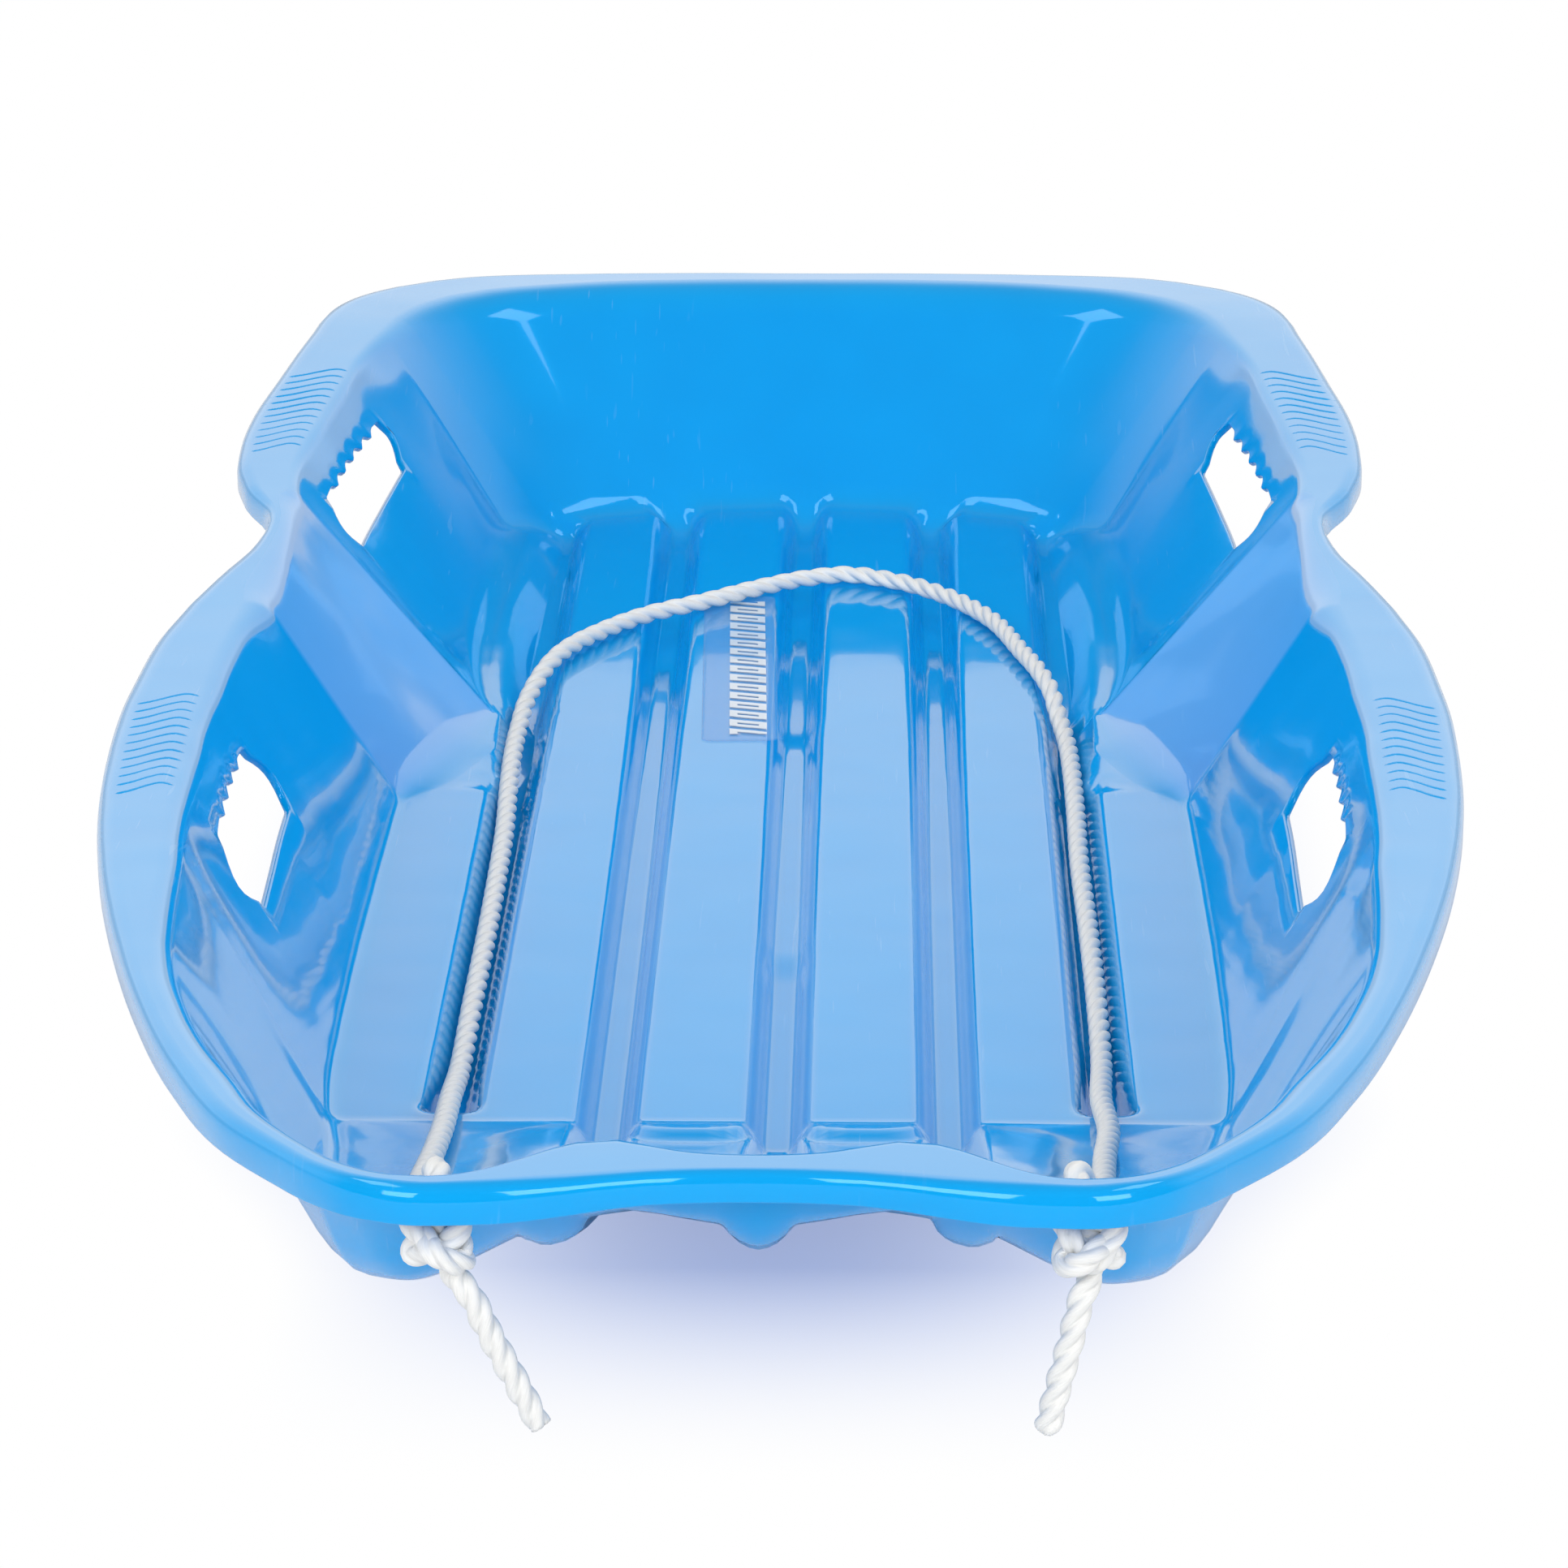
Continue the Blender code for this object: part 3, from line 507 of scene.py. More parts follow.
def groove_columns():
    """Places across the floor: closely over each groove's slopes, widely on the panels."""
    places = [0.0, *groove_slope_places, 0.0180, 0.0245, 0.0350, 0.0415]
    for offset, panel_places in zip(groove_offsets[1:], ((0.080, 0.093), (0.1375, outer_column))):
        places += [offset - step for step in reversed(groove_slope_places)]
        places += [offset + step for step in groove_slope_places]
        places += panel_places
    return places


def squeezed_column(across, edge_across):
    """Moves the outer columns in where the floor's edge comes closer than they lie."""
    fixed = groove_offsets[1] + groove_top_width / 2
    limit = mix(fixed, edge_across, 0.985)
    if across <= fixed or outer_column <= limit:
        return across
    return mix(fixed, limit, (across - fixed) / (outer_column - fixed))


def side_station(place):
    """The station of the floor's side edge at a place along the tray."""
    turns = (floor_nose_end, floor_bay_middle, floor_front_crease, floor_rear_crease,
             floor_tail_end)
    stretch = 0
    while stretch < len(turns) - 2 and place >= turns[stretch + 1]:
        stretch += 1
    return 1 + stretch + clamp((place - turns[stretch]) / (turns[stretch + 1] - turns[stretch]))


def wall_spot(station, share):
    return floor_edge(station).lerp(outline_point(crest_curves, station), share)


def wall_frame(station, share):
    """A frame on the wall: X along the tray, Y up the wall, Z out of the tray's inside."""
    along = (wall_spot(station + 0.02, share) - wall_spot(station - 0.02, share)).normalized()
    climb = (wall_spot(station, 1.0) - wall_spot(station, 0.0)).normalized()
    outward = along.cross(climb).normalized()
    turned = Matrix((along, outward.cross(along), outward)).transposed().to_4x4()
    turned.translation = wall_spot(station, share)
    return turned


def find_station(low, high, measure, wanted):
    """The station between low and high where a rising measure reaches what is wanted."""
    for _ in range(24):
        middle = (low + high) / 2
        if measure(middle) < wanted:
            low = middle
        else:
            high = middle
    return (low + high) / 2


def slot_frame(place):
    """The frame on the wall in the middle of a hand slot."""
    share = (slot_level - floor_level) / (rim_height(place) - floor_level)
    return wall_frame(find_station(1, 5, lambda trial: wall_spot(trial, share).y, place), share)


def spread_places(start, end, step):
    count = max(1, round((end - start) / step))
    return [mix(start, end, index / count) for index in range(count)]


# Rows across the tray: closely beside the slots, so that their outline falls on the rows.
# A slot's rows count from -1 at its front end to 1 at its rear end.
slot_frames = [slot_frame(place) for place in slot_places]
beyond_slot = (1.0, 1.035, 1.09, 1.18, 1.28, 1.40)
slot_rows = [-place for place in reversed(beyond_slot)]
slot_rows += [(2 * index + 1) / 53 for index in range(-26, 26)]
slot_rows += list(beyond_slot)
row_marks = []
for start, end, step in ((floor_nose_end, -0.533, 0.0027), (-0.533, -0.290, 0.0075),
                         (-0.290, -0.226, 0.0028), (-0.226, -0.205, 0.007),
                         (-0.050, 0.073, 0.0095), (0.073, 0.096, 0.0023), (0.096, 0.190, 0.0095),
                         (0.190, 0.208, 0.0023), (0.208, 0.2305, 0.0060)):
    row_marks += [(side_station(place), None) for place in spread_places(start, end, step)]
for number, slot in enumerate(slot_frames):
    inverse = slot.inverted()
    share = (slot_level - floor_level) / (rim_height(slot_places[number]) - floor_level)
    middle, half = slot_spans[number]
    for row in slot_rows:
        station = find_station(1, 5, lambda trial: (inverse @ wall_spot(trial, share)).x,
                               middle + half * row)
        row_marks.append((station, (number, row)))
last_slot_station = max(station for station, mark in row_marks)
after_slot = [mix(last_slot_station, 5, share) for share in
              (0.15, 0.30, 0.45, 0.60, 0.73, 0.84, 0.93, 1.0)]
row_marks += [(station, None) for station in after_slot]
row_marks.sort(key=lambda mark: mark[0])
slot_stations = [station for station, mark in row_marks if mark]
front_reach = (slot_stations[0], slot_stations[len(slot_rows) - 1])
rear_reach = (slot_stations[len(slot_rows)], slot_stations[-1])
row_marks = [(station, mark) for station, mark in row_marks if mark or not any(
    low - 0.008 < station < high + 0.008 for low, high in (front_reach, rear_reach))]
row_stations = [station for station, mark in row_marks]


def slot_spot(number, row, share):
    """A point of a slot's outline or inside it, in the slot's frame: share is 0 on its
    lower edge and 1 on its upper edge, which has the finger rests."""
    row = min(max(row, -1.0), 1.0)
    low_front, low_rear, high_front, high_rear = [Vector(c) for c in slot_corners[number]]
    low = low_front.lerp(low_rear, (row + 1) / 2)
    high = high_front.lerp(high_rear, (row + 1) / 2)
    rounding = slot_corner_radius * (1 - math.sqrt(1 - clamp((abs(row) - 0.92) / 0.08) ** 2))
    low.y += rounding
    high.y += slot_arches[number] * (1 - row * row) - rounding
    first, pitch, count = finger_peaks[number]
    phase = (row - first) / pitch
    if -0.5 <= phase <= count - 0.5:
        high.y -= finger_depth * (1 - abs(math.sin(math.pi * phase)))
    spot = low.lerp(high, share)
    bow = slot_end_bows[number][0 if row < 0 else 1] * abs(row) ** 3
    spot.x += math.copysign(bow, row) * math.sin(math.pi * share)
    return spot


def wall_vertex(station, step, mark):
    """A point of a wall ring, fitted to the slot's outline where its row crosses a slot."""
    low, high = (section(station)[level] for level in (wall_foot_level, wall_top_level))
    spot = section(station)[wall_foot_level + step]
    if not mark or step in (0, wall_steps):
        return spot
    number, row = mark
    inverse = slot_frames[number].inverted()
    share = (spot - low).length / (high - low).length
    edge_step = min(max(step, slot_low_step), slot_high_step)
    edge_share = (section(station)[wall_foot_level + edge_step] - low).length
    edge_share /= (high - low).length
    room = 1.0
    if step < slot_low_step:
        room = share / edge_share
    elif step > slot_high_step:
        room = (1 - share) / (1 - edge_share)
    across = (edge_step - slot_low_step) / (slot_high_step - slot_low_step)
    edge_here = inverse @ low.lerp(high, edge_share)
    shift = slot_spot(number, row, across) - edge_here.xy
    if abs(row) > 1:
        middle, half = slot_spans[number]
        shift.x += middle + half * row - (middle + half * math.copysign(1, row))
        shift *= clamp((1.5 - abs(row)) / 0.5)
    target = (inverse @ spot).xy + shift * room
    for _ in range(4):
        ends = section(station)
        spot = ends[wall_foot_level].lerp(ends[wall_top_level], share)
        here = inverse @ spot
        missing = target - here.xy
        if missing.length < 0.00002:
            break
        climb = inverse.to_3x3() @ (ends[wall_top_level] - ends[wall_foot_level])
        ahead = section(station + slot_fit_step)
        step_on = inverse @ ahead[wall_foot_level].lerp(ahead[wall_top_level], share) - here
        across = step_on.x * climb.y - step_on.y * climb.x
        station += slot_fit_step * (missing.x * climb.y - missing.y * climb.x) / across
        share += (step_on.x * missing.y - step_on.y * missing.x) / across
    ends = section(station)
    return ends[wall_foot_level].lerp(ends[wall_top_level], share)


def floor_spot(across, row, borders, ends):
    """Where a column crosses a row. The rows bend to the nose and to the tail."""
    edge = borders[row]
    (nose_station, nose), (tail_station, tail) = ends
    nose_pull = clamp(1 - (edge.y - borders[0].y) / floor_end_reach) ** 2
    tail_pull = clamp(1 - (borders[-1].y - edge.y) / floor_end_reach) ** 2
    spot_across = squeezed_column(across, edge.x)
    place = edge.y + (nose.y - borders[0].y) * nose_pull + (tail.y - borders[-1].y) * tail_pull
    sink = floor_sink(spot_across, place, place - nose.y, tail.y - place)
    spot = Vector((spot_across, place, ramp_height(spot_across, place) - sink))
    return (nose_station if row == 0 else tail_station), spot


tray = bmesh.new()
station_of = tray.verts.layers.float.new("station")
# Each vertex's share of the painted reflection that makes the waist's slopes paler
painted_reflection_of = tray.verts.layers.float.new("painted_reflection")
row_of = tray.verts.layers.int.new("row")
level_of = tray.verts.layers.int.new("level")
columns = groove_columns()
rows = len(row_stations) - 1
borders = [section(station)[0] for station in row_stations]
column_ends = []
for across in columns:
    ends = []
    for corner, side in ((1, 1), (5, -1)):
        wanted = squeezed_column(across, section(corner)[0].x)
        border_x = lambda inward: section(corner - 1 + inward if side > 0 else 6 - inward)[0].x
        inward = find_station(0.0, 1.0, border_x, wanted) if wanted > 0 else 0.0
        station = inward if side > 0 else 6.0 - inward
        ends.append((station, section(station)[0]))
    column_ends.append(ends)
exact_station = {}
bmesh.ops.create_grid(tray, x_segments=len(columns), y_segments=rows, size=0.5)
for vert in tray.verts:
    column = round((vert.co.x + 0.5) * len(columns))
    row = round((vert.co.y + 0.5) * rows)
    if column < len(columns):
        station, spot = floor_spot(columns[column], row, borders, column_ends[column])
        vert[row_of] = -1
    else:
        station, spot = row_stations[row], borders[row]
        vert[row_of] = row
    vert[station_of] = station
    exact_station[vert[station_of]] = station
    vert.co = spot

ring = [edge for edge in tray.edges
        if edge.is_boundary and any(vert.co.x > 0.00001 for vert in edge.verts)]
for level in range(1, wall_top_level + bend_steps + len(flange_shares) + lip_steps + 2):
    drawn = bmesh.ops.extrude_edge_only(tray, edges=ring)["geom"]
    ring = [piece for piece in drawn if isinstance(piece, bmesh.types.BMEdge)]
    for vert in {vert for edge in ring for vert in edge.verts}:
        station = exact_station[vert[station_of]]
        mark = row_marks[vert[row_of]][1] if vert[row_of] >= 0 else None
        vert[level_of] = level
        if wall_foot_level < level < wall_top_level:
            vert.co = wall_vertex(station, level - wall_foot_level, mark)
        else:
            vert.co = section(station)[level]
        if vert[row_of] < 0 and level < wall_foot_level:
            border = section(station)[0]
            tail_room = 0.0 if station > 5 else 1.0
            sink = floor_sink(border.x, border.y, 0.0, tail_room)
            vert.co.z -= sink * (1 - level / wall_foot_level) ** 1.2

low_level = wall_foot_level + slot_low_step
high_level = wall_foot_level + slot_high_step


def painted_reflection_share(station, level):
    """How much a place is painted pale, a painted reflection: the waist's slopes, between its two
    creases.
    """
    along = clamp((station - 2.99) / 0.03) * clamp((4.005 - station) / 0.03)
    above = clamp((wall_top_level + bend_steps + 1 - level) / (bend_steps + 1))
    return along * ease(level / wall_foot_level) * above


# Painted reflection: the wall vertices of the waist's slopes get a share that paints them paler
for vert in tray.verts:
    if vert[level_of] > 0 and vert[row_of] >= 0:
        vert[painted_reflection_of] = painted_reflection_share(exact_station[vert[station_of]], vert[level_of])


def in_slot(face):
    """Whether a face of the wall lies inside a hand slot's outline."""
    marks = [row_marks[vert[row_of]][1] if vert[row_of] >= 0 else None for vert in face.verts]
    return (all(mark and abs(mark[1]) <= 1 for mark in marks)
            and all(low_level <= vert[level_of] <= high_level for vert in face.verts)
            and len({mark[0] for mark in marks}) == 1)


bmesh.ops.delete(tray, geom=[face for face in tray.faces if in_slot(face)], context="FACES")
for vert in tray.verts:
    away = clamp(vert.co.x / 0.02)
    vert.co.z += sheet_wave * away * noise.noise(vert.co * 34.0 + Vector((7.3, 0, 0)))

hole_share = lambda trial: 1 - hole_drop / (wall_spot(trial, 1.0) - wall_spot(trial, 0.0)).length
hole_station = find_station(0.0, 1.0, lambda trial: wall_spot(trial, hole_share(trial)).x,
                            hole_offset)
hole_frame = wall_frame(hole_station, hole_share(hole_station))
to_hole = hole_frame.inverted()
near_hole = [face for face in tray.faces
             if (face.calc_center_median() - hole_frame.translation).length
             < hole_patch_radius]
edges_near = list(dict.fromkeys(edge for face in near_hole for edge in face.edges))
bmesh.ops.subdivide_edges(tray, edges=edges_near, cuts=3, use_grid_fill=True)
punched = [face for face in tray.faces
           if (to_hole @ face.calc_center_median()).xy.length < hole_radius
           and abs((to_hole @ face.calc_center_median()).z) < 0.01]
hole_edge = {vert for face in punched for vert in face.verts}
bmesh.ops.delete(tray, geom=punched, context="FACES")
for vert in [vert for vert in hole_edge if vert.is_valid and vert.is_boundary]:
    spot = to_hole @ vert.co
    spot.xy = spot.xy.normalized() * hole_radius
    vert.co = hole_frame @ spot
bmesh.ops.recalc_face_normals(tray, faces=tray.faces)
if sum(face.normal.z for face in tray.faces) < 0:
    bmesh.ops.reverse_faces(tray, faces=tray.faces)
tray_mesh = bpy.data.meshes.new("tray")
tray.to_mesh(tray_mesh)
tray.free()
tray_mesh.shade_smooth()


def place_object(name, data):
    piece = bpy.data.objects.new(name, data)
    bpy.context.scene.collection.objects.link(piece)
    return piece


def finished_mesh(piece):
    """The mesh of an object once its modifiers or its bevel are applied."""
    bpy.context.view_layer.update()
    evaluated = piece.evaluated_get(bpy.context.evaluated_depsgraph_get())
    return bpy.data.meshes.new_from_object(evaluated)


tray_piece = place_object("tray", tray_mesh)
other_half = tray_piece.modifiers.new("Other half", "MIRROR")
other_half.use_mirror_merge = True
other_half.merge_threshold = 0.0001
sheet = tray_piece.modifiers.new("Sheet", "SOLIDIFY")
sheet.thickness = wall
sheet.offset = -1
sheet.use_even_offset = True
rim_round = tray_piece.modifiers.new("Rounded cuts", "BEVEL")
rim_round.width = cut_edge_round
rim_round.segments = 2
rim_round.limit_method = "ANGLE"
rim_round.angle_limit = math.radians(62)
rim_round.use_clamp_overlap = False
finished_tray = finished_mesh(tray_piece)
tray_piece.modifiers.clear()
tray_piece.data = finished_tray


def set_sockets(tree, node, values):
    """Gives a node's inputs their values, or links them to other nodes' outputs."""
    for name, value in values.items():
        if isinstance(value, bpy.types.NodeSocket):
            tree.links.new(value, node.inputs[name])
        else:
            node.inputs[name].default_value = value


def add_node(tree, kind, values=None, **settings):
    """Adds a shader node with these settings, and with its inputs set or linked."""
    node = tree.nodes.new("ShaderNode" + kind)
    for name, value in settings.items():
        setattr(node, name, value)
    set_sockets(tree, node, values or {})
    return node


def add_math(tree, operation, *values):
    return add_node(tree, "Math", dict(enumerate(values)), operation=operation).outputs[0]


def add_range(tree, value, low, high, to_low=0.0, to_high=1.0, shape="LINEAR"):
    values = {"Value": value, "From Min": low, "From Max": high, "To Min": to_low,
              "To Max": to_high}
    return add_node(tree, "MapRange", values, interpolation_type=shape).outputs["Result"]


def add_mix(tree, factor, first, second, kind="RGBA"):
    values = {"Factor": factor, "A": first, "B": second}
    return add_node(tree, "Mix", values, data_type=kind).outputs["Result"]


def add_noise(tree, vector, scale, detail=2.0):
    values = {"Vector": vector, "Scale": scale, "Detail": detail}
    return add_node(tree, "TexNoise", values).outputs["Fac"]


def new_material(name):
    material = bpy.data.materials.new(name)
    material.use_nodes = True
    return material, material.node_tree, material.node_tree.nodes["Principled BSDF"]


def new_group(name, inputs, outputs):
    """An empty node group, with the nodes that hold what is given to it and its results."""
    group = bpy.data.node_groups.new(name, "ShaderNodeTree")
    for way, sockets in (("INPUT", inputs), ("OUTPUT", outputs)):
        for socket in sockets:
            group.interface.new_socket(socket, in_out=way, socket_type="NodeSocketFloat")
    return group, group.nodes.new("NodeGroupInput"), group.nodes.new("NodeGroupOutput")


def skin_group():
    """The skin of a moulding: slow dents, fine orange peel, and where dirt has dulled it."""
    group, given, results = new_group("moulded_skin", ("Dent Scale", "Peel Scale"),
                                      ("Height", "Cloud"))
    place = add_node(group, "TexCoord").outputs["Object"]
    dents = add_noise(group, place, given.outputs["Dent Scale"], 1.0)
    peel = add_noise(group, place, given.outputs["Peel Scale"])
    height = add_math(group, "ADD", dents, add_math(group, "MULTIPLY", peel, 0.06))
    set_sockets(group, results, {"Height": height, "Cloud": dents})
    return group


def scratch_group():
    """Hair-thin scratches that run mostly along the tray, in patches."""
    group, given, results = new_group("fine_scratches", ("Amount",), ("Mask",))
    place = add_node(group, "TexCoord").outputs["Object"]
    masks = []
    for turn, stretch in ((0.35, (420, 22, 60)), (-0.5, (360, 26, 60))):
        spread = add_node(group, "Mapping", {"Vector": place, "Rotation": (0, 0, turn),
                                             "Scale": stretch})
        lines = add_noise(group, spread.outputs["Vector"], 1.0, 1.0)
        masks.append(add_range(group, lines, 0.715, 0.760))
    patches = add_range(group, add_noise(group, place, 7.0), 0.50, 0.66)
    mask = add_math(group, "MULTIPLY", add_math(group, "MAXIMUM", *masks), patches)
    set_sockets(group, results,
                {"Mask": add_math(group, "MULTIPLY", mask, given.outputs["Amount"])})
    return group


azure, tree, shader = new_material("azure_plastic_gloss")
skin = add_node(tree, "Group", {"Dent Scale": 26.0, "Peel Scale": 700.0},
                node_tree=skin_group())
scuffs = add_node(tree, "Group", {"Amount": 0.25}, node_tree=scratch_group())
painted_reflection = add_node(tree, "Attribute", attribute_name="painted_reflection")
colour = add_mix(tree, skin.outputs["Cloud"], azure_deep, azure_light)
# Painted reflection: the waist's slopes are mixed towards a pale azure, as though they reflected
# the bright room
colour = add_mix(tree, painted_reflection.outputs["Fac"], colour, azure_painted_reflection)
colour = add_mix(tree, scuffs.outputs["Mask"], colour, azure_scuffed)
dull = add_range(tree, skin.outputs["Cloud"], 0.0, 1.0, 0.05, 0.14)
bump = add_node(tree, "Bump", {"Strength": 0.25, "Distance": 0.0010,
                               "Height": skin.outputs["Height"]})
set_sockets(tree, shader, {
    "Base Color": colour,
    "Roughness": add_math(tree, "MULTIPLY_ADD", scuffs.outputs["Mask"], 0.25, dull),
    "Normal": bump.outputs["Normal"],
    "IOR": 1.55,
    "Specular Tint": azure_gloss_tint,
    "Coat Weight": 0.6,
    "Coat Roughness": 0.035,
    "Coat IOR": 1.5,
})
finished_tray.materials.clear()
finished_tray.materials.append(azure)
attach(tray_piece, "root")
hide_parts("shell")


# ---------------------------------------------------------------------------
# Grip ribs: low wavy ridges across the rim beside each hand slot, moulded with
# the tray, where the rider's palms rest. Each is a half-sunk bead.
# ---------------------------------------------------------------------------
rib_count = 12
rib_radius = 0.0016
rib_sink = 0.0012
rib_shift = 0.006
rib_steps = 16
rib_ends = (-0.10, 1.14)
rib_reaches = ((-0.1895, -0.0775), (0.2830, 0.4060))
rib_wave = ((0.0, 0.0), (0.25, 0.0040), (0.55, 0.0105), (0.80, 0.0140), (0.95, 0.0125),
            (1.16, 0.0050))


def flange_spot(station, share):
    """A point of the rim's top, from its outer edge at 0 to the crest's bend at 1, and on
    round the bend up to 1.2."""
    points = section(station)
    if share > 1:
        reach = wall_top_level + bend_steps * (1 - (share - 1) / 0.2)
        return points[int(reach)].lerp(points[int(reach) + 1], reach - int(reach))
    outer = points[wall_top_level + bend_steps + len(flange_shares)]
    inner = points[wall_top_level + bend_steps]
    return outer.lerp(inner, share)


rib_curve = bpy.data.curves.new("grip_ribs", "CURVE")
rib_curve.dimensions = "3D"
rib_curve.bevel_depth = rib_radius
rib_curve.bevel_resolution = 2
rib_curve.use_fill_caps = True
for start, end in rib_reaches:
    for number in range(rib_count):
        place = mix(start, end, number / (rib_count - 1)) - rib_shift
        spots = []
        for step in range(rib_steps + 1):
            share = mix(*rib_ends, step / rib_steps)
            wanted = place + smooth_table_value(rib_wave, max(share, 0.0))
            station = find_station(1.2, 4.9, lambda trial: flange_spot(trial, share).y, wanted)
            spot = flange_spot(station, share)
            ahead = flange_spot(station + 0.01, share) - spot
            up = (flange_spot(station, share - 0.1) - spot).cross(ahead).normalized()
            spots.append(spot - up * math.copysign(rib_sink, up.z))
        for side in (-1, 1):
            bead = rib_curve.splines.new("POLY")
            bead.points.add(len(spots) - 1)
            for index, (point, spot) in enumerate(zip(bead.points, spots)):
                point.co = (spot.x * side, spot.y, spot.z, 1)
                point.radius = mix(0.45, 1.0, ease(min(index, rib_steps - index) / 2.5))
rib_holder = place_object("grip_ribs_curve", rib_curve)
rib_mesh = finished_mesh(rib_holder)
bpy.data.objects.remove(rib_holder)
rib_mesh.name = "grip_ribs"
rib_mesh.shade_smooth()
rib_mesh.materials.clear()
rib_mesh.materials.append(azure)
ribs = place_object("grip_ribs", rib_mesh)
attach(ribs, "root")


# ---------------------------------------------------------------------------
# Pull rope: three glossy white polypropylene strands laid into one 8 mm rope.
# Its bow lies in the grooves and round the rear bay, and both its ends pass the
# holes in the nose.
# ---------------------------------------------------------------------------
rope_radius = 0.004
strand_radius = 0.00222
strand_offset = rope_radius - strand_radius
lay_length = 0.0310
profile_points = 36
bow_step = 0.0016
reach_below_wall = 0.0015
reach_above_wall = 0.0020
rope_white = (0.93, 0.93, 0.91)
rope_shade_share = 0.80
bow_route = (
    (-0.0895, -0.5716, 0.1300), (-0.0900, -0.5682, 0.1306), (-0.0905, -0.5640, 0.1294),
    (-0.0925, -0.5525, 0.1215), (-0.0945, -0.5400, 0.1115), (-0.0975, -0.5200, 0.0960),
    (-0.1005, -0.5000, 0.0845), (-0.1060, -0.4600, 0.0710), (-0.1090, -0.4300, 0.0630),
    (-0.1110, -0.3900, 0.0510), (-0.1115, -0.3400, 0.0385), (-0.1120, -0.2900, 0.0278),
    (-0.1135, -0.2350, 0.0168), (-0.1140, -0.1900, 0.0084), (-0.1142, -0.1300, 0.0078),
    (-0.1140, -0.0600, 0.0078), (-0.1142, 0.0100, 0.0080), (-0.1150, 0.0700, 0.0080),
    (-0.1165, 0.1150, 0.0092), (-0.1172, 0.1450, 0.0100), (-0.1170, 0.1900, 0.0104),
    (-0.1150, 0.2200, 0.0135), (-0.1040, 0.2640, 0.0193), (-0.0877, 0.2971, 0.0193),
    (-0.0674, 0.3232, 0.0193), (-0.0425, 0.3420, 0.0197), (-0.0176, 0.3640, 0.0197),
    (0.0042, 0.3800, 0.0193), (0.0190, 0.3850, 0.0193), (0.0412, 0.3760, 0.0193),
    (0.0630, 0.3550, 0.0193), (0.0825, 0.3220, 0.0193), (0.0972, 0.2690, 0.0193),
    (0.1035, 0.2430, 0.0192), (0.1080, 0.2250, 0.0168), (0.1110, 0.2050, 0.0110),
    (0.1135, 0.1800, 0.0086), (0.1145, 0.1400, 0.0080),
    (0.1145, 0.1000, 0.0079), (0.1138, 0.0300, 0.0078), (0.1145, -0.0450, 0.0079),
    (0.1148, -0.1150, 0.0080), (0.1142, -0.1800, 0.0080), (0.1118, -0.2350, 0.0168),
    (0.1120, -0.2900, 0.0278), (0.1085, -0.3400, 0.0385), (0.1060, -0.3900, 0.0510),
    (0.1030, -0.4500, 0.0680), (0.1005, -0.5000, 0.0845), (0.0975, -0.5200, 0.0960),
    (0.0945, -0.5400, 0.1115), (0.0925, -0.5525, 0.1215), (0.0905, -0.5640, 0.1294),
    (0.0900, -0.5682, 0.1306), (0.0895, -0.5716, 0.1300),
)


def knot_frame(side):
    """The frame of a rope hole on one side, with Z pointing out of the tray below the nose."""
    down = hole_frame.to_3x3() @ Vector((0, 0, 1))
    down.x = 0
    down = down.normalized() * math.copysign(1, -down.z)
    across = Vector((1, 0, 0))
    turned = Matrix((across, down.cross(across), down)).transposed().to_4x4()
    spot = hole_frame.translation
    turned.translation = Vector((spot.x * side, spot.y, spot.z))
    return turned


def smooth_path(route, step):
    """Spots an even step apart on the smooth curve through a route."""
    points = [Vector(point) for point in route]
    points = [points[0]] + points + [points[-1]]
    reaches = reaches_of(points)
    count = max(2, round(reaches[-1] / step))
    return [smooth_curve(points, reaches, reaches[-1] * index / count)
            for index in range(count + 1)]


def strand_profile(radius, offset):
    """The rope's section: the outline of three round strands pressed together."""
    profile = bpy.data.curves.new("strand_profile", "CURVE")
    profile.dimensions = "2D"
    outline = profile.splines.new("POLY")
    outline.use_cyclic_u = True
    outline.points.add(profile_points - 1)
    for index, point in enumerate(outline.points):
        turn = math.tau * index / profile_points
        off_lobe = (turn + math.pi / 3) % (math.tau / 3) - math.pi / 3
        reach = offset * math.cos(off_lobe)
        reach += math.sqrt(radius ** 2 - (offset * math.sin(off_lobe)) ** 2)
        point.co = (reach * math.cos(turn), reach * math.sin(turn), 0, 1)
    return place_object("strand_profile", profile)


def laid_rope(name, spots, fullness=None, lay=lay_length):
    """A twisted rope along a list of spots, as a mesh whose UV map follows its strands."""
    profile = strand_profile(strand_radius, strand_offset)
    curve = bpy.data.curves.new(name, "CURVE")
    curve.dimensions = "3D"
    curve.twist_mode = "MINIMUM"
    curve.bevel_mode = "OBJECT"
    curve.bevel_object = profile
    curve.use_fill_caps = True
    line = curve.splines.new("POLY")
    line.points.add(len(spots) - 1)
    reaches = reaches_of(spots)
    for index, (point, spot) in enumerate(zip(line.points, spots)):
        point.co = (*spot, 1)
        point.tilt = math.tau * (reaches[index] - reaches[-1] / 2) / lay
        point.radius = fullness(index / (len(spots) - 1)) if fullness else 1.0
    holder = place_object(name + "_curve", curve)
    data = finished_mesh(holder)
    data.name = name
    bpy.data.objects.remove(holder)
    bpy.data.objects.remove(profile)
    return data, reaches[-1]


def rope_object(name, data, material, *nodes_replaced):
    """A stretch of rope as a piece, with its seams welded."""
    weld = bmesh.new()
    weld.from_mesh(data)
    bmesh.ops.remove_doubles(weld, verts=weld.verts, dist=0.00001)
    bmesh.ops.recalc_face_normals(weld, faces=weld.faces)
    weld.to_mesh(data)
    weld.free()
    data.shade_smooth()
    data.materials.clear()
    data.materials.append(material)
    piece = place_object(name, data)
    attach(piece, "root")
    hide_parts(*nodes_replaced)
    return piece


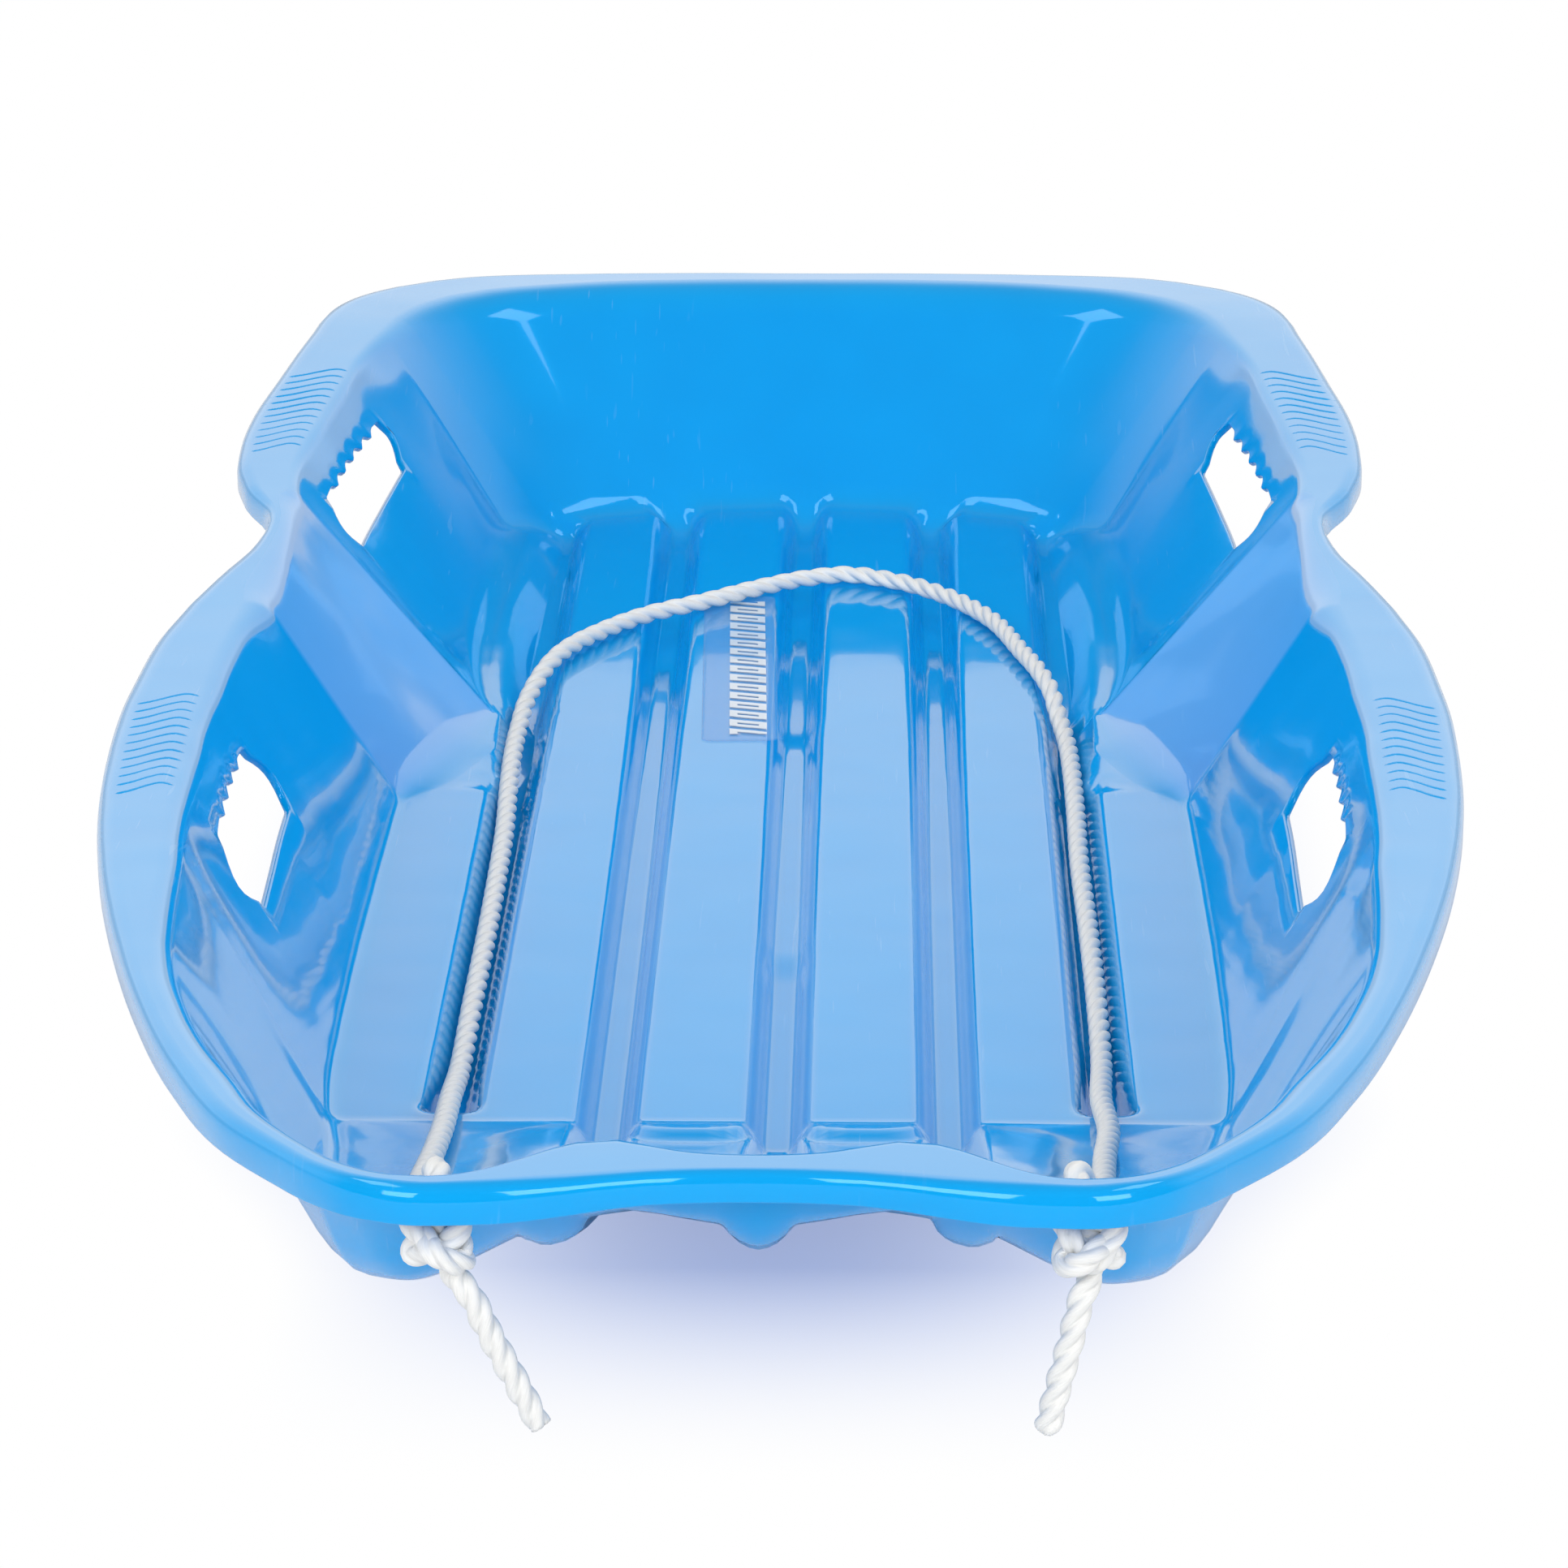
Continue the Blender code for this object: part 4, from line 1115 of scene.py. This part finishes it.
def fibre_material(name, colour, length):
    """Glossy plastic fibres: fine lines along each strand, from the piece's own UV map."""
    material, tree, shader = new_material(name)
    spread = add_node(tree, "Mapping", {"Vector": add_node(tree, "UVMap").outputs["UV"],
                                        "Scale": (length * 260, 40.0, 1)})
    fibres = add_noise(tree, spread.outputs["Vector"], 1.0, 3.0)
    tufts = add_noise(tree, add_node(tree, "TexCoord").outputs["Object"], 180.0)
    shade = [part * rope_shade_share for part in colour]
    bump = add_node(tree, "Bump", {"Strength": 0.6, "Distance": 0.0004, "Height": fibres})
    set_sockets(tree, shader, {
        "Base Color": add_mix(tree, fibres, (*shade, 1), (*colour, 1)),
        "Roughness": add_range(tree, tufts, 0.0, 1.0, 0.32, 0.62),
        "Normal": bump.outputs["Normal"],
        "Sheen Weight": 0.25,
        "Sheen Roughness": 0.4,
        "Subsurface Weight": 0.15,
        "Subsurface Radius": (0.002, 0.002, 0.002),
    })
    return material


left_frame, right_frame = knot_frame(-1), knot_frame(1)
seat_below = Vector((0, 0, wall + reach_below_wall))
seat_above = Vector((0, 0, -reach_above_wall))
route = [left_frame @ seat_above] + [Vector(p) for p in bow_route] + [right_frame @ seat_above]
bow_spots = [left_frame @ seat_below] + smooth_path(route, bow_step)
bow_spots.append(right_frame @ seat_below)
bow_mesh, bow_length = laid_rope("pull_rope_bow", bow_spots)
bow = rope_object("pull_rope_bow", bow_mesh,
                  fibre_material("rope_fibres_bow", rope_white, bow_length), "rope_bow")


# ---------------------------------------------------------------------------
# Knots: under the nose each end of the rope is tied in an overhand knot, pulled
# tight, which is too big for its hole.
# ---------------------------------------------------------------------------
knot_size = Vector((0.0235, 0.0190, 0.0170))
knot_seat_share = 0.80
knot_shift = 0.0022
knot_gap_below_wall = 0.0018
knot_loop = Vector((0.0034, 0.0036, 0.0031))
knot_loop_steps = 14
knot_lay = 0.022
knot_fullness = 0.92
knot_step = 0.0006
tail_leads = {"left": 0.0038, "right": 0.0008}


def knot_middle(side_frame):
    """The middle of a knot, which sits just below its hole."""
    depth = wall + knot_gap_below_wall + knot_size.z / 2 * knot_seat_share
    return side_frame @ Vector((knot_shift, 0, depth))


def knot_spots(side, side_frame, lead):
    """The rope's line through an overhand knot, from its tail up to the hole."""
    middle = knot_middle(side_frame)
    turned = side_frame.to_3x3()
    spots = [middle + Vector((lead, 0, -knot_size.z / 2 * knot_seat_share))]
    spots.append(middle + Vector((lead * 1.1 + side * 0.001, -0.0030, -0.0055)))
    for step in range(1, knot_loop_steps):
        turn = math.pi + math.tau * step / knot_loop_steps
        flat = Vector((-(math.cos(turn) - 2 * math.cos(2 * turn)), -math.sin(3 * turn),
                       math.sin(turn) + 2 * math.sin(2 * turn)))
        local = Vector((flat.x * knot_loop.x * side, flat.y * knot_loop.y,
                        -flat.z * knot_loop.z))
        spots.append(middle + turned @ local)
    spots.append(side_frame @ Vector((0, 0, wall + 0.004)))
    spots.append(side_frame @ Vector((0, 0, wall + 0.0008)))
    return spots


for name, side, side_frame in (("left", -1, left_frame), ("right", 1, right_frame)):
    spots = smooth_path(knot_spots(side, side_frame, tail_leads[name]), knot_step)
    knot_mesh, knot_length = laid_rope("knot_" + name, spots, lambda share: knot_fullness,
                                       knot_lay)
    rope_object("knot_" + name, knot_mesh,
                fibre_material("rope_fibres_knot_" + name, rope_white, knot_length),
                "rope_knot_" + name)


# ---------------------------------------------------------------------------
# Tails: about 50 mm of free rope below each knot. The left one has a plain cut
# end, drawn in a little, and the right one was melted to a round end.
# ---------------------------------------------------------------------------
tail_lay = 0.024
tail_gap = 0.0003
tail_step = 0.0010
bead_start = 0.86
bead_widest = 0.45
tail_drops = {"left": ((0.0040, -0.0015, -0.0090), (0.0100, -0.0028, -0.0215),
                       (0.0170, -0.0036, -0.0355), (0.0235, -0.0040, -0.0490)),
              "right": ((-0.0020, -0.0015, -0.0090), (-0.0050, -0.0028, -0.0215),
                        (-0.0085, -0.0036, -0.0360), (-0.0120, -0.0040, -0.0510))}


def melted_end(share):
    """The rope's fullness: drawn in a little before the melted bead, and round at its end."""
    if share < bead_start:
        return 1.0
    bead = (share - bead_start) / (1 - bead_start)
    beyond = max(0.0, bead - bead_widest) / (1 - bead_widest)
    closing = math.sqrt(max(0.02, 1 - beyond ** 2))
    return closing * mix(1, 1.05, ease(bead * 2))


def cut_end(share):
    """The rope's fullness: drawn in a little towards a plain cut end."""
    return mix(1.0, 0.93, ease((share - 0.82) / 0.15))


for name, side_frame, fullness in (("left", left_frame, cut_end),
                                   ("right", right_frame, melted_end)):
    start = knot_middle(side_frame)
    start += Vector((tail_leads[name], 0, -knot_size.z / 2 * knot_seat_share - tail_gap))
    route = [start, start - Vector((0, 0, rope_radius))]
    route += [start + Vector(drop) for drop in tail_drops[name]]
    spots = smooth_path(route, tail_step)
    tail_mesh, tail_length = laid_rope("tail_" + name, spots, fullness, tail_lay)
    tail = rope_object("tail_" + name, tail_mesh,
                       fibre_material("rope_fibres_tail_" + name, rope_white, tail_length),
                       "rope_tail_" + name)


# ---------------------------------------------------------------------------
# Label film: a clear self-adhesive strip on the panel left of the middle groove,
# printed in white with a plain row of slanting bars. It lies flat but for small
# bubbles.
# ---------------------------------------------------------------------------
film_length = 0.205
film_width = 0.032
film_place = (-0.0255, 0.262)
film_turn = math.radians(1.4)
film_thickness = 0.0003
film_lift = 0.0006
film_corner = 0.004
film_swell = 0.00028
bar_pitch = 0.0125
film_clear = (0.35, 0.62, 0.95, 1)
film_print = (0.85, 0.91, 0.97, 1)

film = bmesh.new()
bmesh.ops.create_grid(film, x_segments=16, y_segments=96, size=0.5)
for vert in film.verts:
    x, y = vert.co.x * film_width, vert.co.y * film_length
    inner_x, inner_y = film_width / 2 - film_corner, film_length / 2 - film_corner
    out = Vector((max(abs(x) - inner_x, 0), max(abs(y) - inner_y, 0), 0))
    if out.x > 0 and out.y > 0 and out.length > film_corner:
        out *= film_corner / out.length
        x, y = math.copysign(inner_x + out.x, x), math.copysign(inner_y + out.y, y)
    edge = min(film_width / 2 - abs(x), film_length / 2 - abs(y))
    swell = film_swell * max(0.0, noise.noise(Vector((x * 90, y * 60, 3.1))))
    swell *= clamp(edge / film_corner)
    vert.co = Vector((x, y, swell))
bmesh.ops.recalc_face_normals(film, faces=film.faces)
if sum(face.normal.z for face in film.faces) < 0:
    bmesh.ops.reverse_faces(film, faces=film.faces)
place = Matrix.Translation((*film_place, floor_level + film_lift))
film.transform(place @ Matrix.Rotation(film_turn, 4, "Z"))
film_mesh = bpy.data.meshes.new("label_strip")
film.to_mesh(film_mesh)
film.free()
film_mesh.shade_smooth()
label = place_object("label_strip", film_mesh)
film_sheet = label.modifiers.new("Thickness", "SOLIDIFY")
film_sheet.thickness = film_thickness
film_sheet.offset = -1


def all_of(tree, mask, *others):
    for other in others:
        mask = add_math(tree, "MULTIPLY", mask, other)
    return mask


clear, tree, shader = new_material("clear_film_print")
centre = add_node(tree, "Mapping", {"Vector": add_node(tree, "TexCoord").outputs["Object"],
                                    "Location": (*film_place, 0),
                                    "Rotation": (0, 0, film_turn)}, vector_type="TEXTURE")
split = add_node(tree, "SeparateXYZ", {"Vector": centre.outputs["Vector"]})
across, along = split.outputs["X"], split.outputs["Y"]
slant = add_math(tree, "MULTIPLY_ADD", across, 0.30, along)
bars = add_math(tree, "FRACT", add_math(tree, "MULTIPLY", slant, 1 / bar_pitch))
off_line = add_math(tree, "ABSOLUTE", add_math(tree, "ADD", across, -0.0035))
hollow = all_of(tree, add_math(tree, "GREATER_THAN", bars, 0.50),
                add_math(tree, "LESS_THAN", bars, 0.68),
                add_math(tree, "LESS_THAN", off_line, 0.0045))
printed = all_of(tree, add_math(tree, "GREATER_THAN", bars, 0.26),
                 add_math(tree, "LESS_THAN", bars, 0.93),
                 add_math(tree, "LESS_THAN", off_line, 0.0078),
                 add_math(tree, "LESS_THAN", add_math(tree, "ABSOLUTE", along), 0.094),
                 add_math(tree, "SUBTRACT", 1.0, hollow))
set_sockets(tree, shader, {
    "Base Color": add_mix(tree, printed, film_clear, film_print),
    "Alpha": add_math(tree, "MULTIPLY_ADD", printed, 0.72, 0.16),
    "Roughness": 0.08,
    "IOR": 1.5,
})
film_mesh.materials.append(clear)
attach(label, "root")
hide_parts("label_film")


# ---------------------------------------------------------------------------
# Studio: a white floor that runs on to a white background, two large soft lamps
# far behind the camera, and two small ones over the tray.
# ---------------------------------------------------------------------------
floor_half_size = 6
floor_drop = 0.0004
plain_white = (1, 1, 1, 1)
paper_white = (0.93, 0.93, 0.94, 1)
shadow_blue = (0.55, 0.65, 1.0, 1)

ground = bmesh.new()
bmesh.ops.create_grid(ground, x_segments=1, y_segments=1, size=floor_half_size)
bmesh.ops.translate(ground, verts=ground.verts, vec=(0, 0, -floor_drop))
ground_mesh = bpy.data.meshes.new("studio_floor")
ground.to_mesh(ground_mesh)
ground.free()
studio_floor = place_object("studio_floor", ground_mesh)

# The floor glows white to the camera. Under the sled a painted shadow mask dims that glow and tints
# it blue, and where the mask is full, 40% of the lit floor with its real shadow shows through.
paper, tree, shader = new_material("white_paper")
set_sockets(tree, shader, {"Base Color": paper_white, "Roughness": 0.9,
                           "Specular IOR Level": 0.0})
split = add_node(tree, "SeparateXYZ", {"Vector": add_node(tree, "TexCoord").outputs["Object"]})
across, along = split.outputs["X"], split.outputs["Y"]
# Painted shadow: a soft mask under the sled, from the nose's ramp to the tail, at most 0.22 m to
# each side
half_span = add_range(tree, along, -0.36, -0.20, 0.165, 0.22, "SMOOTHSTEP")
beside = add_math(tree, "ABSOLUTE", add_math(tree, "DIVIDE", across, half_span))
beside = add_math(tree, "SUBTRACT", 1.0, add_math(tree, "POWER", beside, 2.0))
beside = add_math(tree, "POWER", add_math(tree, "MAXIMUM", beside, 0.0), 1.5)
ahead = add_math(tree, "POWER", add_range(tree, along, -0.50, -0.34), 2.0)
after = add_range(tree, along, 0.40, 0.60, 1.0, 0.0, "SMOOTHSTEP")
shade = all_of(tree, beside, ahead, after)
# The painted shadow turns the glow from white to a shadow blue and lowers its share from 1 to 0.6
glow = add_node(tree, "Emission", {"Color": add_mix(tree, shade, plain_white, shadow_blue)})
seen = add_node(tree, "LightPath").outputs["Is Camera Ray"]
part_glow = add_math(tree, "MULTIPLY", seen, add_range(tree, shade, 0.0, 1.0, 1.0, 0.6))
blend = add_node(tree, "MixShader", {0: part_glow, 1: shader.outputs["BSDF"],
                                     2: glow.outputs["Emission"]})
set_sockets(tree, tree.nodes["Material Output"], {"Surface": blend.outputs["Shader"]})
ground_mesh.materials.append(paper)

# The background is white to the camera. To the sled the room is bright behind it, darker
# in front of it and overhead.
world = bpy.data.worlds.new("white_studio")
world.use_nodes = True
bpy.context.scene.world = world
tree = world.node_tree
split = add_node(tree, "SeparateXYZ", {"Vector": add_node(tree, "TexCoord").outputs["Generated"]})
behind = add_range(tree, split.outputs["Y"], -0.30, 0.30, 0.25, 1.12, "SMOOTHSTEP")
low_back = add_range(tree, split.outputs["Z"], 0.06, 0.13, 0.66, 1.0, "SMOOTHSTEP")
above = add_range(tree, split.outputs["Z"], 0.40, 0.85, 0.0, 1.0, "SMOOTHSTEP")
level = add_mix(tree, above, all_of(tree, behind, low_back), 0.34, "FLOAT")
room = add_node(tree, "Background", {"Color": plain_white, "Strength": level})
white = tree.nodes["Background"]
set_sockets(tree, white, {"Color": plain_white})
seen = add_node(tree, "LightPath").outputs["Is Camera Ray"]
choice = add_node(tree, "MixShader", {0: seen, 1: room.outputs["Background"],
                                      2: white.outputs["Background"]})
set_sockets(tree, tree.nodes["World Output"], {"Surface": choice.outputs["Shader"]})

lamp_target = Vector((0, 0, 0.05))
for name, spot, size, power in (
        ("front_lamp_left", (-3.0, -5.6, 3.4), (3.8, 2.8), 190),
        ("front_lamp_right", (3.0, -5.6, 3.4), (3.8, 2.8), 190),
        ("top_lamp_left", (-1.1, 0.0, 2.4), (1.2, 0.5), 6),
        ("top_lamp_right", (1.1, 0.0, 2.4), (1.2, 0.5), 6)):
    lamp_data = bpy.data.lights.new(name, "AREA")
    lamp_data.shape = "RECTANGLE"
    lamp_data.size, lamp_data.size_y = size
    lamp_data.energy = power
    lamp = place_object(name, lamp_data)
    aim = (lamp_target - Vector(spot)).to_track_quat("-Z", "Y")
    lamp.matrix_world = Matrix.Translation(spot) @ aim.to_matrix().to_4x4()
